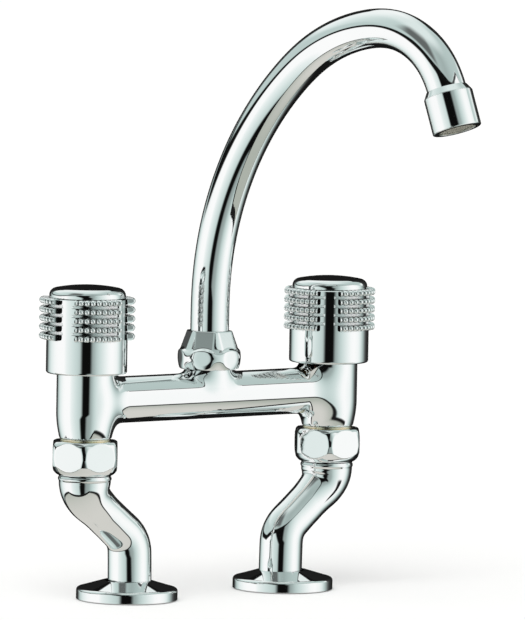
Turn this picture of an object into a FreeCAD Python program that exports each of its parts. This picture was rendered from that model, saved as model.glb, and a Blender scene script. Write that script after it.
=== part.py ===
import FreeCAD, Part
import math
import os
import re
import Sketcher

# Deck-standing bridge mixer tap with a swivel swan-neck spout. Millimetres and degrees.
# X runs along the bridge with the hot side at -X, the user stands at -Y and Z is up.
# The origin lies on the deck, midway between the two feet. Both valves are shut.

sizes = {
    # fits
    "overrun": 1,
    "running_gap": 0.08,
    "assembly_gap": 0.1,
    "end_gap": 0.1,
    "swivel_gap": 0.3,
    # layout
    "body_centres": 150,
    "leg_height": 63.6,
    "leg_offset": 26.65,
    # legs
    "leg_top_radius": 13.2,
    "leg_waist_radius": 10.3,
    "leg_foot_radius": 11,
    "leg_bore_radius": 6.5,
    "leg_top_run": 3.7,
    "leg_bend_radius": 14,
    "leg_bend_angle": 48,
    "inlet_thread_radius": 7.475,
    "inlet_thread_depth": 12,
    # deck flanges
    "flange_radius": 25.5,
    "flange_lift": 0.3,
    "flange_rim_height": 6,
    "flange_rim_round": 1.6,
    "flange_height": 9.5,
    "flange_lip": 1.2,
    "flange_wall": 2.4,
    "gasket_thickness": 2,
    # unions
    "union_nut_width": 32,
    "union_nut_height": 17.2,
    "union_nut_lift": 0.3,
    "union_flat_radius": 8.3,
    "union_thread_radius": 12.5,
    "union_ledge": 4.1,
    "union_neck_radius": 10.4,
    "union_neck_wall": 2.4,
    "union_chamfer": 0.8,
    "tail_ring_radius": 11.9,
    "tail_ring_height": 1.9,
    "union_washer_thickness": 1.6,
    "thread_show": 1.2,
    "hot_nut_turn": -6,
    "cold_nut_turn": -1,
    # bridge body
    "column_radius": 14.8,
    "column_foot_radius": 13,
    "column_taper": 13.7,
    "column_height": 36,
    "bridge_rise": 17.7,
    "bridge_radius": 11.5,
    "bridge_bore_radius": 7,
    "boss_radius": 11.2,
    "boss_rise": 14.3,
    "boss_thread_height": 8.7,
    "column_blend_radius": 4,
    "boss_blend_radius": 9,
    "seat_drop": 8,
    "seat_bore_radius": 5.5,
    "seat_lip_width": 1.5,
    "seat_lip_height": 1,
    "seat_thickness": 3,
    # headworks
    "bonnet_thread_radius": 10.3,
    "bonnet_reach": 9.8,
    "bonnet_seal_thickness": 1,
    "bonnet_seal_inset": 1,
    "bonnet_hex_width": 24,
    "bonnet_hex_height": 5,
    "bonnet_neck_radius": 8.2,
    "bonnet_neck_height": 6.9,
    "guide_roof": 0.7,
    "spindle_radius": 5,
    "spindle_collar_radius": 6.1,
    "spindle_collar_height": 2,
    "spindle_thread_radius": 3.9,
    "spindle_spline_radius": 4.5,
    "spindle_ring_radius": 0.54,
    "spindle_groove_width": 1.4,
    "spindle_groove_rise": 3,
    "spindle_groove_pitch": 4,
    "clip_radius": 7,
    "clip_slot": 6,
    "clip_thickness": 0.9,
    "clip_groove": 0.9,
    # valves
    "valve_lift": 4,
    "piston_hex_width": 12.4,
    "piston_disc_radius": 7.6,
    "piston_disc_height": 2,
    "piston_floor": 5.5,
    "piston_headroom": 0.6,
    "valve_washer_radius": 7,
    "valve_washer_thickness": 3.1,
    "seat_gap": 0.05,
    "washer_screw_radius": 1.5,
    "washer_screw_head_radius": 3.2,
    "washer_screw_head_height": 1.6,
    "washer_screw_grip": 4.6,
    # knobs
    "knob_overlap": 3.4,
    "knob_skirt_radius": 20.25,
    "knob_skirt_height": 15.5,
    "knob_skirt_round": 1.2,
    "knob_core_radius": 19.9,
    "knob_wall": 1.9,
    "knob_hub_radius": 8.5,
    "knob_hub_clearance": 0.6,
    "knob_plate": 7.5,
    "knob_screw_web": 3,
    "bead_zone_height": 22.1,
    "bead_pitch": 4.45,
    "bead_height": 2.9,
    "bead_depth": 1.5,
    "bead_outer_radius": 24.1,
    "bead_bite": 0.6,
    "bead_group_angle": 61,
    "hot_knob_turn": -21,
    "cold_knob_turn": 7,
    "cap_radius": 19.1,
    "cap_edge_round": 3.4,
    "cap_height": 6.5,
    "cap_crown_height": 1.5,
    "cap_plug_radius": 14,
    "cap_plug_wall": 1.6,
    "cap_recess_depth": 3.5,
    "knob_screw_radius": 2.4,
    "knob_screw_grip": 11,
    "knob_screw_head_radius": 4.5,
    "knob_screw_head_height": 2.4,
    # swivel at the spout's foot
    "spout_nut_lift": 0.1,
    "spout_nut_height": 19.2,
    "spout_nut_width": 30.2,
    "spout_nut_foot_radius": 13.7,
    "spout_nut_waist_radius": 14.85,
    "spout_nut_waist_rise": 8.6,
    "spout_nut_bulge_radius": 6.9,
    "spout_nut_top_radius": 11.75,
    "spout_nut_top_width": 21.4,
    "spout_nut_turn": 12,
    "thrust_washer_thickness": 1,
    "spout_collar_radius": 11,
    "spout_collar_height": 2.3,
    "slip_ring_height": 2.8,
    "spigot_radius": 8.5,
    "spigot_length": 16,
    "spigot_bore_radius": 6,
    "spigot_upstand": 8,
    "spigot_ring_radius": 0.82,
    "spigot_groove_width": 2.2,
    "spigot_groove_drop": 4,
    "spigot_groove_pitch": 5,
    # spout
    "spout_swing": 14,
    "spout_radius": 9.75,
    "spout_wall": 1.05,
    "spout_riser": 18.9,
    "spout_rise_radius": 164.3,
    "spout_rise_angle": 49,
    "spout_crown_radius": 87.7,
    "spout_crown_angle": 35.9,
    "spout_fall_radius": 41.9,
    "spout_fall_angle": 75.3,
    "spout_outlet_run": 10,
    # aerator, measured along the outlet from its conical shoulder
    "aerator_start": 0.7,
    "aerator_shoulder": 3.3,
    "aerator_shoulder_lip": 0.4,
    "aerator_radius": 12.2,
    "aerator_length": 17.9,
    "aerator_thread_radius": 10.9,
    "aerator_thread_length": 7,
    "aerator_gasket_thickness": 1.5,
    "aerator_cartridge_radius": 9.9,
    "aerator_cartridge_height": 5.6,
    "aerator_plate": 2,
    "aerator_jet_radius": 0.9,
    "aerator_jet_circle": 6,
    "aerator_bore_radius": 10,
    "aerator_mouth_radius": 9.3,
    "aerator_lip_height": 1.3,
    "aerator_edge_round": 0.7,
    "screen_thickness": 0.6,
}

bead_rows = 5
bead_groups = 4
jet_count = 10
hex_sides = 6

# Places that follow from the sizes.
places = {
    "half_centres": "body_centres / 2",
    "foot_place": "half_centres - leg_offset",
    "nut_bottom": "leg_height + union_nut_lift",
    "nut_top": "nut_bottom + union_nut_height",
    "nut_middle": "nut_bottom + union_nut_height / 2",
    "ledge_top": "nut_bottom + union_ledge",
    "tail_top": "ledge_top + tail_ring_height",
    "spigot_bottom": "tail_top + union_washer_thickness",
    "column_bottom": "nut_top + thread_show",
    "column_top": "column_bottom + column_height",
    "bridge_level": "column_bottom + bridge_rise",
    "inlet_bore": "union_neck_radius - union_neck_wall",
    "chamber_radius": "bonnet_thread_radius + assembly_gap",
    "seat_top": "bridge_level - seat_drop",
    "chamber_floor": "seat_top - seat_lip_height",
    "seat_bottom": "chamber_floor - seat_thickness",
    "boss_top": "bridge_level + boss_rise",
    "boss_thread_top": "boss_top + boss_thread_height",
    "boss_bore": "spigot_radius + running_gap",
    "seal_top": "column_top + bonnet_seal_thickness",
    "bonnet_bottom": "column_top - bonnet_reach",
    "bonnet_hex_top": "seal_top + bonnet_hex_height",
    "bonnet_top": "bonnet_hex_top + bonnet_neck_height",
    "guide_top": "seal_top - guide_roof",
    "collar_top": "guide_top - end_gap",
    "collar_bottom": "collar_top - spindle_collar_height",
    "washer_bottom": "seat_top + seat_gap",
    "piston_bottom": "washer_bottom + valve_washer_thickness",
    "piston_top": "collar_bottom - valve_lift - piston_headroom",
    "thread_bottom": "piston_bottom + piston_floor",
    "spindle_tip": "thread_bottom + valve_lift + piston_headroom",
    "clip_bottom": "bonnet_top + end_gap",
    "clip_top": "clip_bottom + clip_thickness",
    "hub_bottom": "clip_top + knob_hub_clearance",
    "knob_bottom": "column_top - knob_overlap",
    "skirt_top": "knob_bottom + knob_skirt_height",
    "bead_top": "skirt_top + bead_zone_height",
    "plate_bottom": "bead_top - knob_plate",
    "recess_floor": "bead_top - cap_recess_depth",
    "hub_bore_top": "recess_floor - knob_screw_web",
    "hub_bore": "spindle_spline_radius + assembly_gap",
    "spindle_top": "hub_bore_top - end_gap",
    "screw_bore": "knob_screw_radius + assembly_gap",
    "screw_tip": "spindle_top - knob_screw_grip",
    "groove_low": "seal_top + spindle_groove_rise",
    "groove_high": "groove_low + spindle_groove_pitch",
    "groove_radius": "spindle_radius - 2 * spindle_ring_radius - assembly_gap",
    "spout_nut_bottom": "boss_top + spout_nut_lift",
    "spout_nut_top": "spout_nut_bottom + spout_nut_height",
    "spout_nut_waist": "spout_nut_bottom + spout_nut_waist_rise",
    "thrust_top": "boss_thread_top + thrust_washer_thickness",
    "spout_collar_bottom": "thrust_top + end_gap",
    "spout_collar_top": "spout_collar_bottom + spout_collar_height",
    "slip_top": "spout_collar_top + slip_ring_height",
    "spout_nut_roof": "slip_top + end_gap",
    "spigot_foot": "spout_collar_bottom - spigot_length",
    "spigot_upper_ring": "spout_collar_bottom - spigot_groove_drop",
    "spigot_lower_ring": "spigot_upper_ring - spigot_groove_pitch",
    "spigot_groove": "spigot_radius - 2 * spigot_ring_radius - assembly_gap",
    "spout_bore": "spout_radius - spout_wall",
    "riser_top": "spout_collar_top + spout_riser",
    "crown_start": "spout_rise_angle",
    "fall_start": "spout_rise_angle + spout_crown_angle",
    "outlet_angle": "fall_start + spout_fall_angle",
    "crown_shift": "spout_rise_radius - spout_crown_radius",
    "fall_shift": "spout_crown_radius - spout_fall_radius",
    "rise_x": "spout_rise_radius",
    "crown_x": "rise_x - crown_shift * cos(crown_start)",
    "crown_z": "riser_top + crown_shift * sin(crown_start)",
    "fall_x": "crown_x - fall_shift * cos(fall_start)",
    "fall_z": "crown_z + fall_shift * sin(fall_start)",
    "outlet_x": "fall_x - spout_fall_radius * cos(outlet_angle)",
    "outlet_z": "fall_z + spout_fall_radius * sin(outlet_angle)",
    "aerator_x": "outlet_x + aerator_start * sin(outlet_angle)",
    "aerator_z": "outlet_z + aerator_start * cos(outlet_angle)",
    "thread_end": "aerator_shoulder + aerator_thread_length",
    "gasket_end": "thread_end + aerator_gasket_thickness",
    "cartridge_end": "gasket_end + aerator_cartridge_height",
    "mouth_end": "aerator_shoulder + aerator_length",
    "lip_start": "mouth_end - aerator_lip_height",
    "screen_start": "lip_start - screen_thickness",
    "tube_sleeve": "spout_radius + assembly_gap",
    "spout_turn": "spout_swing - 90",
}

doc = FreeCAD.newDocument("bridge_mixer")
sheet = doc.addObject("Spreadsheet::Sheet", "size")
for row, (name, number) in enumerate(sizes.items(), 1):
    sheet.set("A%d" % row, name)
    sheet.set("B%d" % row, str(number))
    sheet.setAlias("B%d" % row, name)
doc.recompute()

parts = []


def bound(formula):
    """The formula with each size and place spelled out as cells of the sheet."""
    def spell(match):
        word = match.group()
        if word in places:
            return "(" + bound(places[word]) + ")"
        return "size." + word if word in sizes else word
    return re.sub(r"[a-z][a-z_]*", spell, formula)


def value(formula):
    return float(sheet.evalExpression(bound(formula)))


def bind(item, **formulas):
    for prop, formula in formulas.items():
        item.setExpression(prop, bound(formula))
    return item


def place(item, x="0", y="0", z="0", turn="0"):
    return bind(item, Placement="placement(vector(%s; %s; %s); rotationz(%s))" % (x, y, z, turn))


def node(item, label):
    item.Label = label
    parts.append(item)
    return item


def cylinder(name, radius, bottom, top, x="0", y="0"):
    item = doc.addObject("Part::Cylinder", name)
    bind(item, Radius=radius, Height="(%s) - (%s)" % (top, bottom))
    return place(item, x, y, bottom)


def hexagon(name, width, bottom, top, turn="0"):
    item = doc.addObject("Part::Prism", name)
    item.Polygon = int(hex_sides)
    bind(item, Circumradius="%s / sqrt(3)" % width, Height="(%s) - (%s)" % (top, bottom))
    return place(item, z=bottom, turn=turn)


def fused(name, *items):
    item = doc.addObject("Part::MultiFuse", name)
    item.Shapes = list(items)
    return item


def cut(name, base, tool):
    item = doc.addObject("Part::Cut", name)
    item.Base = base
    item.Tool = tool
    return item


def common(name, first, second):
    item = doc.addObject("Part::Common", name)
    item.Base = first
    item.Tool = second
    return item


def draw_edge(sketch, start, end, radius=0, turn=1):
    """Adds a line, or an arc that turns left (1) or right (-1). Gives its number and its ends' codes."""
    if not radius:
        return sketch.addGeometry(Part.LineSegment(start, end)), 1, 2
    chord = end - start
    half = chord.Length / 2
    left = FreeCAD.Vector(-chord.y, chord.x, 0) / chord.Length
    centre = (start + end) / 2 + left * (turn * math.sqrt(max(radius ** 2 - half ** 2, 0)))
    first, last = (start, end) if turn > 0 else (end, start)
    angles = [math.atan2(point.y - centre.y, point.x - centre.x) for point in (first, last)]
    circle = Part.Circle(centre, FreeCAD.Vector(0, 0, 1), radius)
    number = sketch.addGeometry(Part.ArcOfCircle(circle, *angles))
    return (number, 1, 2) if turn > 0 else (number, 2, 1)


def outline(body, name, points):
    """A closed sketch in the XZ plane. A point is (x, z), or (x, z, radius, turn) at the end of an arc."""
    sketch = body.newObject("Sketcher::SketchObject", name)
    plane = next(item for item in body.Origin.OriginFeatures if item.Role == "XZ_Plane")
    sketch.AttachmentSupport = [(plane, "")]
    sketch.MapMode = "FlatFace"
    corners = [FreeCAD.Vector(value(point[0]), value(point[1]), 0) for point in points]
    edges = []
    for index, point in enumerate(points):
        curve = (value(point[2]), point[3]) if len(point) > 2 else ()
        edges.append(draw_edge(sketch, corners[index - 1], corners[index], *curve))
    for index, (point, corner) in enumerate(zip(points, corners)):
        number, first, last = edges[index]
        after, after_first, after_last = edges[(index + 1) % len(edges)]
        sketch.addConstraint(Sketcher.Constraint("Coincident", number, last, after, after_first))
        rules = (("DistanceX", point[0], corner.x, -2), ("DistanceY", point[1], corner.y, -1))
        for kind, formula, distance, axis in rules:
            if formula == "0":
                sketch.addConstraint(Sketcher.Constraint("PointOnObject", number, last, axis))
                continue
            rule = sketch.addConstraint(Sketcher.Constraint(kind, -1, 1, number, last, distance))
            sketch.setExpression("Constraints[%d]" % rule, bound(formula))
        if len(point) > 2:
            rule = sketch.addConstraint(Sketcher.Constraint("Radius", number, value(point[2])))
            sketch.setExpression("Constraints[%d]" % rule, bound(point[2]))
    return sketch


def turned(name, points):
    """A body turned about Z from its half outline."""
    body = doc.addObject("PartDesign::Body", name)
    add_turn(body, name, points)
    return body


def add_turn(body, name, points, sweep=None):
    sketch = outline(body, name + "_outline", points)
    lathe = body.newObject("PartDesign::Revolution", name + "_turn")
    lathe.Profile = sketch
    lathe.ReferenceAxis = (sketch, ["V_Axis"])
    lathe.Angle = 360
    if sweep:
        lathe.Midplane = True
        bind(lathe, Angle=sweep)
    return lathe


def ring(name, inner, outer, bottom, top):
    return turned(name, [(inner, bottom), (outer, bottom), (outer, top), (inner, top)])


def torus(name, middle, section, level):
    item = doc.addObject("Part::Torus", name)
    bind(item, Radius1=middle, Radius2=section)
    return place(item, z=level)


def swivel_place(item, x, z, tilt):
    """Places a piece of the spout, given in the spout's own upright plane."""
    swing = "placement(vector(0; 0; 0); rotationz(spout_turn))"
    upright = "placement(vector(%s; 0; %s); rotationy(%s))" % (x, z, tilt)
    return bind(item, Placement="%s * %s" % (swing, upright))


# Bridge body: two columns, the bridge between them and the spout boss, cast in one piece.
def make_bridge_body():
    solids = []
    bores = []
    taper_drop = "(column_radius - column_foot_radius)"
    taper_curve = "(column_taper ^ 2 + %s ^ 2) / (2 * %s)" % (taper_drop, taper_drop)
    for side, x in (("hot", "-half_centres"), ("cold", "half_centres")):
        column = turned(side + "_column", [
            ("0", "spigot_bottom"),
            ("union_thread_radius", "spigot_bottom"),
            ("union_thread_radius", "column_bottom"),
            ("column_foot_radius", "column_bottom"),
            ("column_radius", "column_bottom + column_taper", taper_curve, 1),
            ("column_radius", "column_top"),
            ("0", "column_top"),
        ])
        solids.append(place(column, x))
        waterway = turned(side + "_waterway", [
            ("0", "spigot_bottom - overrun"),
            ("inlet_bore", "spigot_bottom - overrun"),
            ("inlet_bore", "seat_bottom"),
            ("seat_bore_radius", "seat_bottom"),
            ("seat_bore_radius", "seat_top"),
            ("seat_bore_radius + seat_lip_width", "seat_top"),
            ("seat_bore_radius + seat_lip_width", "chamber_floor"),
            ("chamber_radius", "chamber_floor"),
            ("chamber_radius", "column_top + overrun"),
            ("0", "column_top + overrun"),
        ])
        bores.append(place(waterway, x))
    for name, group in (("bridge", solids), ("bridge_bore", bores)):
        tube = doc.addObject("Part::Cylinder", name)
        bind(tube, Radius=name + "_radius", Height="body_centres")
        start = "placement(vector(-half_centres; 0; bridge_level); rotationy(90))"
        group.append(bind(tube, Placement=start))
    solids.append(cylinder("boss", "boss_radius", "bridge_level", "boss_thread_top"))
    bores.append(cylinder("boss_bore_tool", "boss_bore", "bridge_level", "boss_thread_top + overrun"))
    casting = fused("rough_casting", *solids)
    for place_name in ("column", "boss"):
        casting = blended(place_name, casting)
    blend_reach = "boss_radius + boss_blend_radius"
    nut_seat = ring("nut_seat", "boss_radius", blend_reach, "boss_top", "boss_thread_top")
    node(cut("bridge_body", casting, fused("waterways", nut_seat, *bores)), "bridge_body")


def lies_level(surface):
    return isinstance(surface, Part.Cylinder) and abs(surface.Axis.x) > abs(surface.Axis.z)


def blended(place_name, casting):
    """Rounds the edges where the level bridge meets the upright columns, or the boss."""
    doc.recompute()
    shape = casting.Shape
    radius = value(place_name + "_blend_radius")
    edges = []
    for number, edge in enumerate(shape.Edges, 1):
        surfaces = [face.Surface for face in shape.ancestorsOfType(edge, Part.Face)]
        level = [lies_level(surface) for surface in surfaces]
        flat = [isinstance(surface, Part.Plane) for surface in surfaces]
        here = "boss" if abs(edge.CenterOfMass.x) < value("boss_radius") else "column"
        if here == place_name and any(level) and not all(level) and not any(flat):
            edges.append((number, radius, radius))
    blend = doc.addObject("Part::Fillet", place_name + "_blend")
    blend.Base = casting
    blend.Edges = edges
    return blend


# Legs: a neck for the union nut, a tapering S bend and an upright foot with the inlet thread.
def leg_stations():
    """Place and lean of the S bend's sections, from the top down."""
    drop = "leg_bend_radius * sin(%s)"
    side = "leg_bend_radius * (1 - cos(%s))"
    run = "((leg_offset - 2 * %s) / sin(leg_bend_angle))" % (side % "leg_bend_angle")
    height = "(2 * %s + %s * cos(leg_bend_angle))" % (drop % "leg_bend_angle", run)
    top = "leg_height - leg_top_run"
    stations = []
    bend_shares = (0, 0.25, 0.5, 0.75, 1)
    for share in bend_shares:
        lean = "(leg_bend_angle * %s)" % share
        stations.append((side % lean, "%s - %s" % (top, drop % lean), lean))
    middle = ("leg_offset / 2", "%s - %s / 2" % (top, height), "leg_bend_angle")
    stations.append(middle)
    for share in reversed(bend_shares):
        lean = "(leg_bend_angle * %s)" % share
        x = "leg_offset - %s" % (side % lean)
        stations.append((x, "%s - %s + %s" % (top, height, drop % lean), lean))
    return stations, "(%s - %s)" % (top, height)


def leg_core(name, top_radius, waist_radius, foot_radius, foot_end):
    stations, bend_foot = leg_stations()
    middle = len(stations) // 2
    sections = []
    for index, (x, z, lean) in enumerate(stations):
        end_radius = top_radius if index < middle else foot_radius
        share = abs(index - middle) / middle
        circle = doc.addObject("Part::Circle", "%s_section_%d" % (name, index))
        bind(circle, Radius="%s + (%s - %s) * %s" % (waist_radius, end_radius, waist_radius, share))
        bind(circle, Placement="placement(vector(%s; 0; %s); rotationy(-%s))" % (x, z, lean))
        sections.append(circle)
    bend = doc.addObject("Part::Loft", name + "_bend")
    bend.Sections = sections
    bend.Solid = True
    foot = cylinder(name + "_foot", foot_radius, foot_end, bend_foot, "leg_offset")
    top = cylinder(name + "_shoulder", top_radius, "leg_height - leg_top_run", "leg_height")
    return fused(name, bend, foot, top)


def make_leg(side, x, turn):
    outside = leg_core(side + "_leg_outside", "leg_top_radius", "leg_waist_radius",
                       "leg_foot_radius", "0")
    inside = leg_core(side + "_leg_inside", "inlet_bore", "leg_bore_radius",
                      "leg_bore_radius", "-overrun")
    neck = cylinder(side + "_leg_neck", "union_neck_radius", "leg_height - leg_top_run", "tail_top")
    neck_bore = cylinder(side + "_neck_bore", "inlet_bore", "leg_height - overrun", "tail_top + overrun")
    socket = cylinder(side + "_inlet", "inlet_thread_radius", "-overrun", "inlet_thread_depth",
                      "leg_offset")
    whole = fused(side + "_leg_solid", outside, neck)
    hollow = fused(side + "_leg_hollow", inside, neck_bore, socket)
    leg = cut(side + "_leg", whole, hollow)
    node(place(leg, x, turn=turn), side + "_leg")


def make_foot(side, x):
    bore = "leg_foot_radius + assembly_gap"
    rim = "flange_radius - flange_wall"
    flange = turned(side + "_flange", [
        (bore, "gasket_thickness"),
        (rim, "gasket_thickness"),
        (rim, "flange_lift"),
        ("flange_radius", "flange_lift"),
        ("flange_radius", "flange_rim_height - flange_rim_round"),
        ("flange_radius - flange_rim_round", "flange_rim_height", "flange_rim_round", 1),
        (bore + " + flange_lip", "flange_height"),
        (bore, "flange_height"),
    ])
    node(place(flange, x), side + "_flange")
    gasket = ring(side + "_flange_gasket", bore, rim + " - assembly_gap", "0", "gasket_thickness")
    node(place(gasket, x), side + "_flange_gasket")


# Unions: a hexagon nut with round polished flats pulls the leg's tail ring up against the column.
def make_union(side, x):
    block = hexagon(side + "_nut_block", "union_nut_width", "nut_bottom", "nut_top", side + "_nut_turn")
    ball = doc.addObject("Part::Sphere", side + "_nut_ball")
    bind(ball, Radius="sqrt((union_nut_width / 2) ^ 2 + union_flat_radius ^ 2)")
    place(ball, z="nut_middle")
    bore = "union_thread_radius + assembly_gap"
    drill = turned(side + "_nut_drill", [
        ("0", "nut_bottom - overrun"),
        ("union_neck_radius + assembly_gap", "nut_bottom - overrun"),
        ("union_neck_radius + assembly_gap", "ledge_top"),
        (bore, "ledge_top"),
        (bore, "nut_top - union_chamfer"),
        (bore + " + union_chamfer + overrun", "nut_top + overrun"),
        ("0", "nut_top + overrun"),
    ])
    nut = cut(side + "_union_nut", common(side + "_nut_form", block, ball), drill)
    node(place(nut, x), side + "_union_nut")
    tail = ring(side + "_tail_ring", "union_neck_radius + assembly_gap", "tail_ring_radius",
                "ledge_top", "tail_top")
    node(place(tail, x), side + "_tail_ring")
    washer = ring(side + "_union_washer", "inlet_bore", "tail_ring_radius", "tail_top", "spigot_bottom")
    node(place(washer, x), side + "_union_washer")


# Headworks: a bonnet screwed into the column guides the hexagon piston and holds the spindle.
def make_bonnet(side, x):
    seal = ring(side + "_bonnet_seal", "chamber_radius", "column_radius - bonnet_seal_inset",
                "column_top", "seal_top")
    node(place(seal, x), side + "_bonnet_seal")
    sleeve = turned(side + "_bonnet_sleeve", [
        ("0", "bonnet_bottom"),
        ("bonnet_thread_radius", "bonnet_bottom"),
        ("bonnet_thread_radius", "bonnet_hex_top"),
        ("bonnet_neck_radius", "bonnet_hex_top"),
        ("bonnet_neck_radius", "bonnet_top"),
        ("0", "bonnet_top"),
    ])
    grip = hexagon(side + "_bonnet_grip", "bonnet_hex_width", "seal_top", "bonnet_hex_top")
    guide = hexagon(side + "_bonnet_guide", "(piston_hex_width + 2 * running_gap)",
                    "bonnet_bottom - overrun", "guide_top")
    neck = cylinder(side + "_bonnet_bore", "spindle_radius + running_gap",
                    "guide_top - overrun", "bonnet_top + overrun")
    solid = fused(side + "_bonnet_solid", sleeve, grip)
    bonnet = cut(side + "_bonnet", solid, fused(side + "_bonnet_hole", guide, neck))
    node(place(bonnet, x), side + "_bonnet")


def make_spindle(side, x, turn):
    rises = []
    for groove in ("groove_low", "groove_high"):
        rises += [
            ("spindle_radius", groove),
            ("groove_radius", groove),
            ("groove_radius", groove + " + spindle_groove_width"),
            ("spindle_radius", groove + " + spindle_groove_width"),
        ]
    spindle = turned(side + "_spindle", [
        ("0", "spindle_tip"),
        ("spindle_thread_radius", "spindle_tip"),
        ("spindle_thread_radius", "collar_bottom"),
        ("spindle_collar_radius", "collar_bottom"),
        ("spindle_collar_radius", "collar_top"),
        ("spindle_radius", "collar_top"),
        *rises,
        ("spindle_radius", "clip_bottom"),
        ("spindle_spline_radius - clip_groove", "clip_bottom"),
        ("spindle_spline_radius - clip_groove", "clip_top"),
        ("spindle_spline_radius", "clip_top"),
        ("spindle_spline_radius", "spindle_top"),
        ("screw_bore", "spindle_top"),
        ("screw_bore", "screw_tip"),
        ("0", "screw_tip"),
    ])
    node(place(spindle, x), side + "_spindle")
    rings = [
        torus(side + "_ring_" + groove, "spindle_radius - spindle_ring_radius", "spindle_ring_radius",
              groove + " + spindle_groove_width / 2")
        for groove in ("groove_low", "groove_high")
    ]
    node(place(fused(side + "_spindle_o_rings", *rings), x), side + "_spindle_o_rings")
    clip_bore = "spindle_spline_radius - clip_groove + assembly_gap"
    washer = ring(side + "_clip_washer", clip_bore, "clip_radius", "clip_bottom", "clip_top")
    slot = doc.addObject("Part::Box", side + "_clip_slot")
    bind(slot, Length="clip_radius + overrun", Width="clip_slot", Height="clip_thickness + 2 * overrun")
    place(slot, y="-clip_slot / 2", z="clip_bottom - overrun")
    clip = cut(side + "_spindle_clip", washer, slot)
    node(place(clip, x, turn=turn), side + "_spindle_clip")


# Valve: the piston rides on the spindle's left-hand thread and presses its washer on the seat.
def make_valve(side, x):
    disc = cylinder(side + "_piston_disc", "piston_disc_radius",
                    "piston_bottom", "piston_bottom + piston_disc_height")
    stem = hexagon(side + "_piston_stem", "piston_hex_width", "piston_bottom", "piston_top")
    thread = cylinder(side + "_piston_thread", "spindle_thread_radius + running_gap",
                      "thread_bottom", "piston_top + overrun")
    tap = cylinder(side + "_piston_tap", "washer_screw_radius + assembly_gap",
                   "piston_bottom - overrun", "thread_bottom + overrun")
    solid = fused(side + "_piston_solid", disc, stem)
    piston = cut(side + "_piston", solid, fused(side + "_piston_hole", thread, tap))
    node(place(piston, x), side + "_piston")
    washer = ring(side + "_valve_washer", "washer_screw_radius + assembly_gap", "valve_washer_radius",
                  "washer_bottom", "piston_bottom")
    node(place(washer, x), side + "_valve_washer")
    screw = turned(side + "_washer_screw", [
        ("0", "washer_bottom - washer_screw_head_height"),
        ("washer_screw_head_radius", "washer_bottom - washer_screw_head_height"),
        ("washer_screw_head_radius", "washer_bottom"),
        ("washer_screw_radius", "washer_bottom"),
        ("washer_screw_radius", "piston_bottom + washer_screw_grip"),
        ("0", "piston_bottom + washer_screw_grip"),
    ])
    node(place(screw, x), side + "_washer_screw")


# Knobs: a plain skirt, four groups of beaded ribs between smooth bands, and a domed cap.
def make_knob(side, x, turn):
    hollow = "knob_skirt_radius - knob_wall"
    knob = turned(side + "_knob", [
        ("hub_bore", "hub_bottom"),
        ("knob_hub_radius", "hub_bottom"),
        ("knob_hub_radius", "plate_bottom"),
        (hollow, "plate_bottom"),
        (hollow, "knob_bottom"),
        ("knob_skirt_radius - knob_skirt_round", "knob_bottom"),
        ("knob_skirt_radius", "knob_bottom + knob_skirt_round", "knob_skirt_round", 1),
        ("knob_skirt_radius", "skirt_top"),
        ("knob_core_radius", "skirt_top"),
        ("knob_core_radius", "bead_top"),
        ("cap_plug_radius + assembly_gap", "bead_top"),
        ("cap_plug_radius + assembly_gap", "recess_floor"),
        ("screw_bore", "recess_floor"),
        ("screw_bore", "hub_bore_top"),
        ("hub_bore", "hub_bore_top"),
    ])
    root = "bead_outer_radius - bead_depth"
    inner = "knob_core_radius - bead_bite"
    bed = "knob_core_radius - bead_bite / 2"
    first = "skirt_top + (bead_zone_height - %d * bead_pitch) / 2" % (bead_rows - 1)
    crown = "((bead_height / 2) ^ 2 + bead_depth ^ 2) / (2 * bead_depth)"
    rib_points = []
    for row in range(int(bead_rows)):
        low = "%s + %d * bead_pitch - bead_height / 2" % (first, row)
        high = "%s + %d * bead_pitch + bead_height / 2" % (first, row)
        rib_points += [(bed, low), (root, low), (root, high, crown, 1), (bed, high)]
    rib_points[0] = (inner, rib_points[0][1])
    rib_points[-1] = (inner, rib_points[-1][1])
    ribs = add_turn(knob, side + "_knob_ribs", rib_points, "bead_group_angle")
    pattern = knob.newObject("PartDesign::PolarPattern", side + "_knob_groups")
    pattern.Originals = [ribs]
    pattern.Axis = (ribs.Profile[0], ["V_Axis"])
    pattern.Angle = 360
    pattern.Occurrences = int(bead_groups)
    knob.Tip = pattern
    node(place(knob, x, turn=turn), side + "_knob")
    shoulder = "(cap_radius - cap_edge_round)"
    dome = "(%s ^ 2 + cap_crown_height ^ 2) / (2 * cap_crown_height)" % shoulder
    cap_top = "bead_top + cap_height"
    cap = turned(side + "_knob_cap", [
        ("0", "bead_top"),
        ("cap_plug_radius - cap_plug_wall", "bead_top"),
        ("cap_plug_radius - cap_plug_wall", "recess_floor + end_gap"),
        ("cap_plug_radius", "recess_floor + end_gap"),
        ("cap_plug_radius", "bead_top"),
        ("cap_radius", "bead_top"),
        ("cap_radius", cap_top + " - cap_crown_height - cap_edge_round"),
        (shoulder, cap_top + " - cap_crown_height", "cap_edge_round", 1),
        ("0", cap_top, dome, 1),
    ])
    node(place(cap, x), side + "_knob_cap")
    head_top = "recess_floor + knob_screw_head_height"
    screw = turned(side + "_knob_screw", [
        ("0", "screw_tip + end_gap"),
        ("knob_screw_radius", "screw_tip + end_gap"),
        ("knob_screw_radius", "recess_floor"),
        ("knob_screw_head_radius", "recess_floor"),
        ("knob_screw_head_radius", head_top),
        ("0", head_top),
    ])
    node(place(screw, x), side + "_knob_screw")


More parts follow.
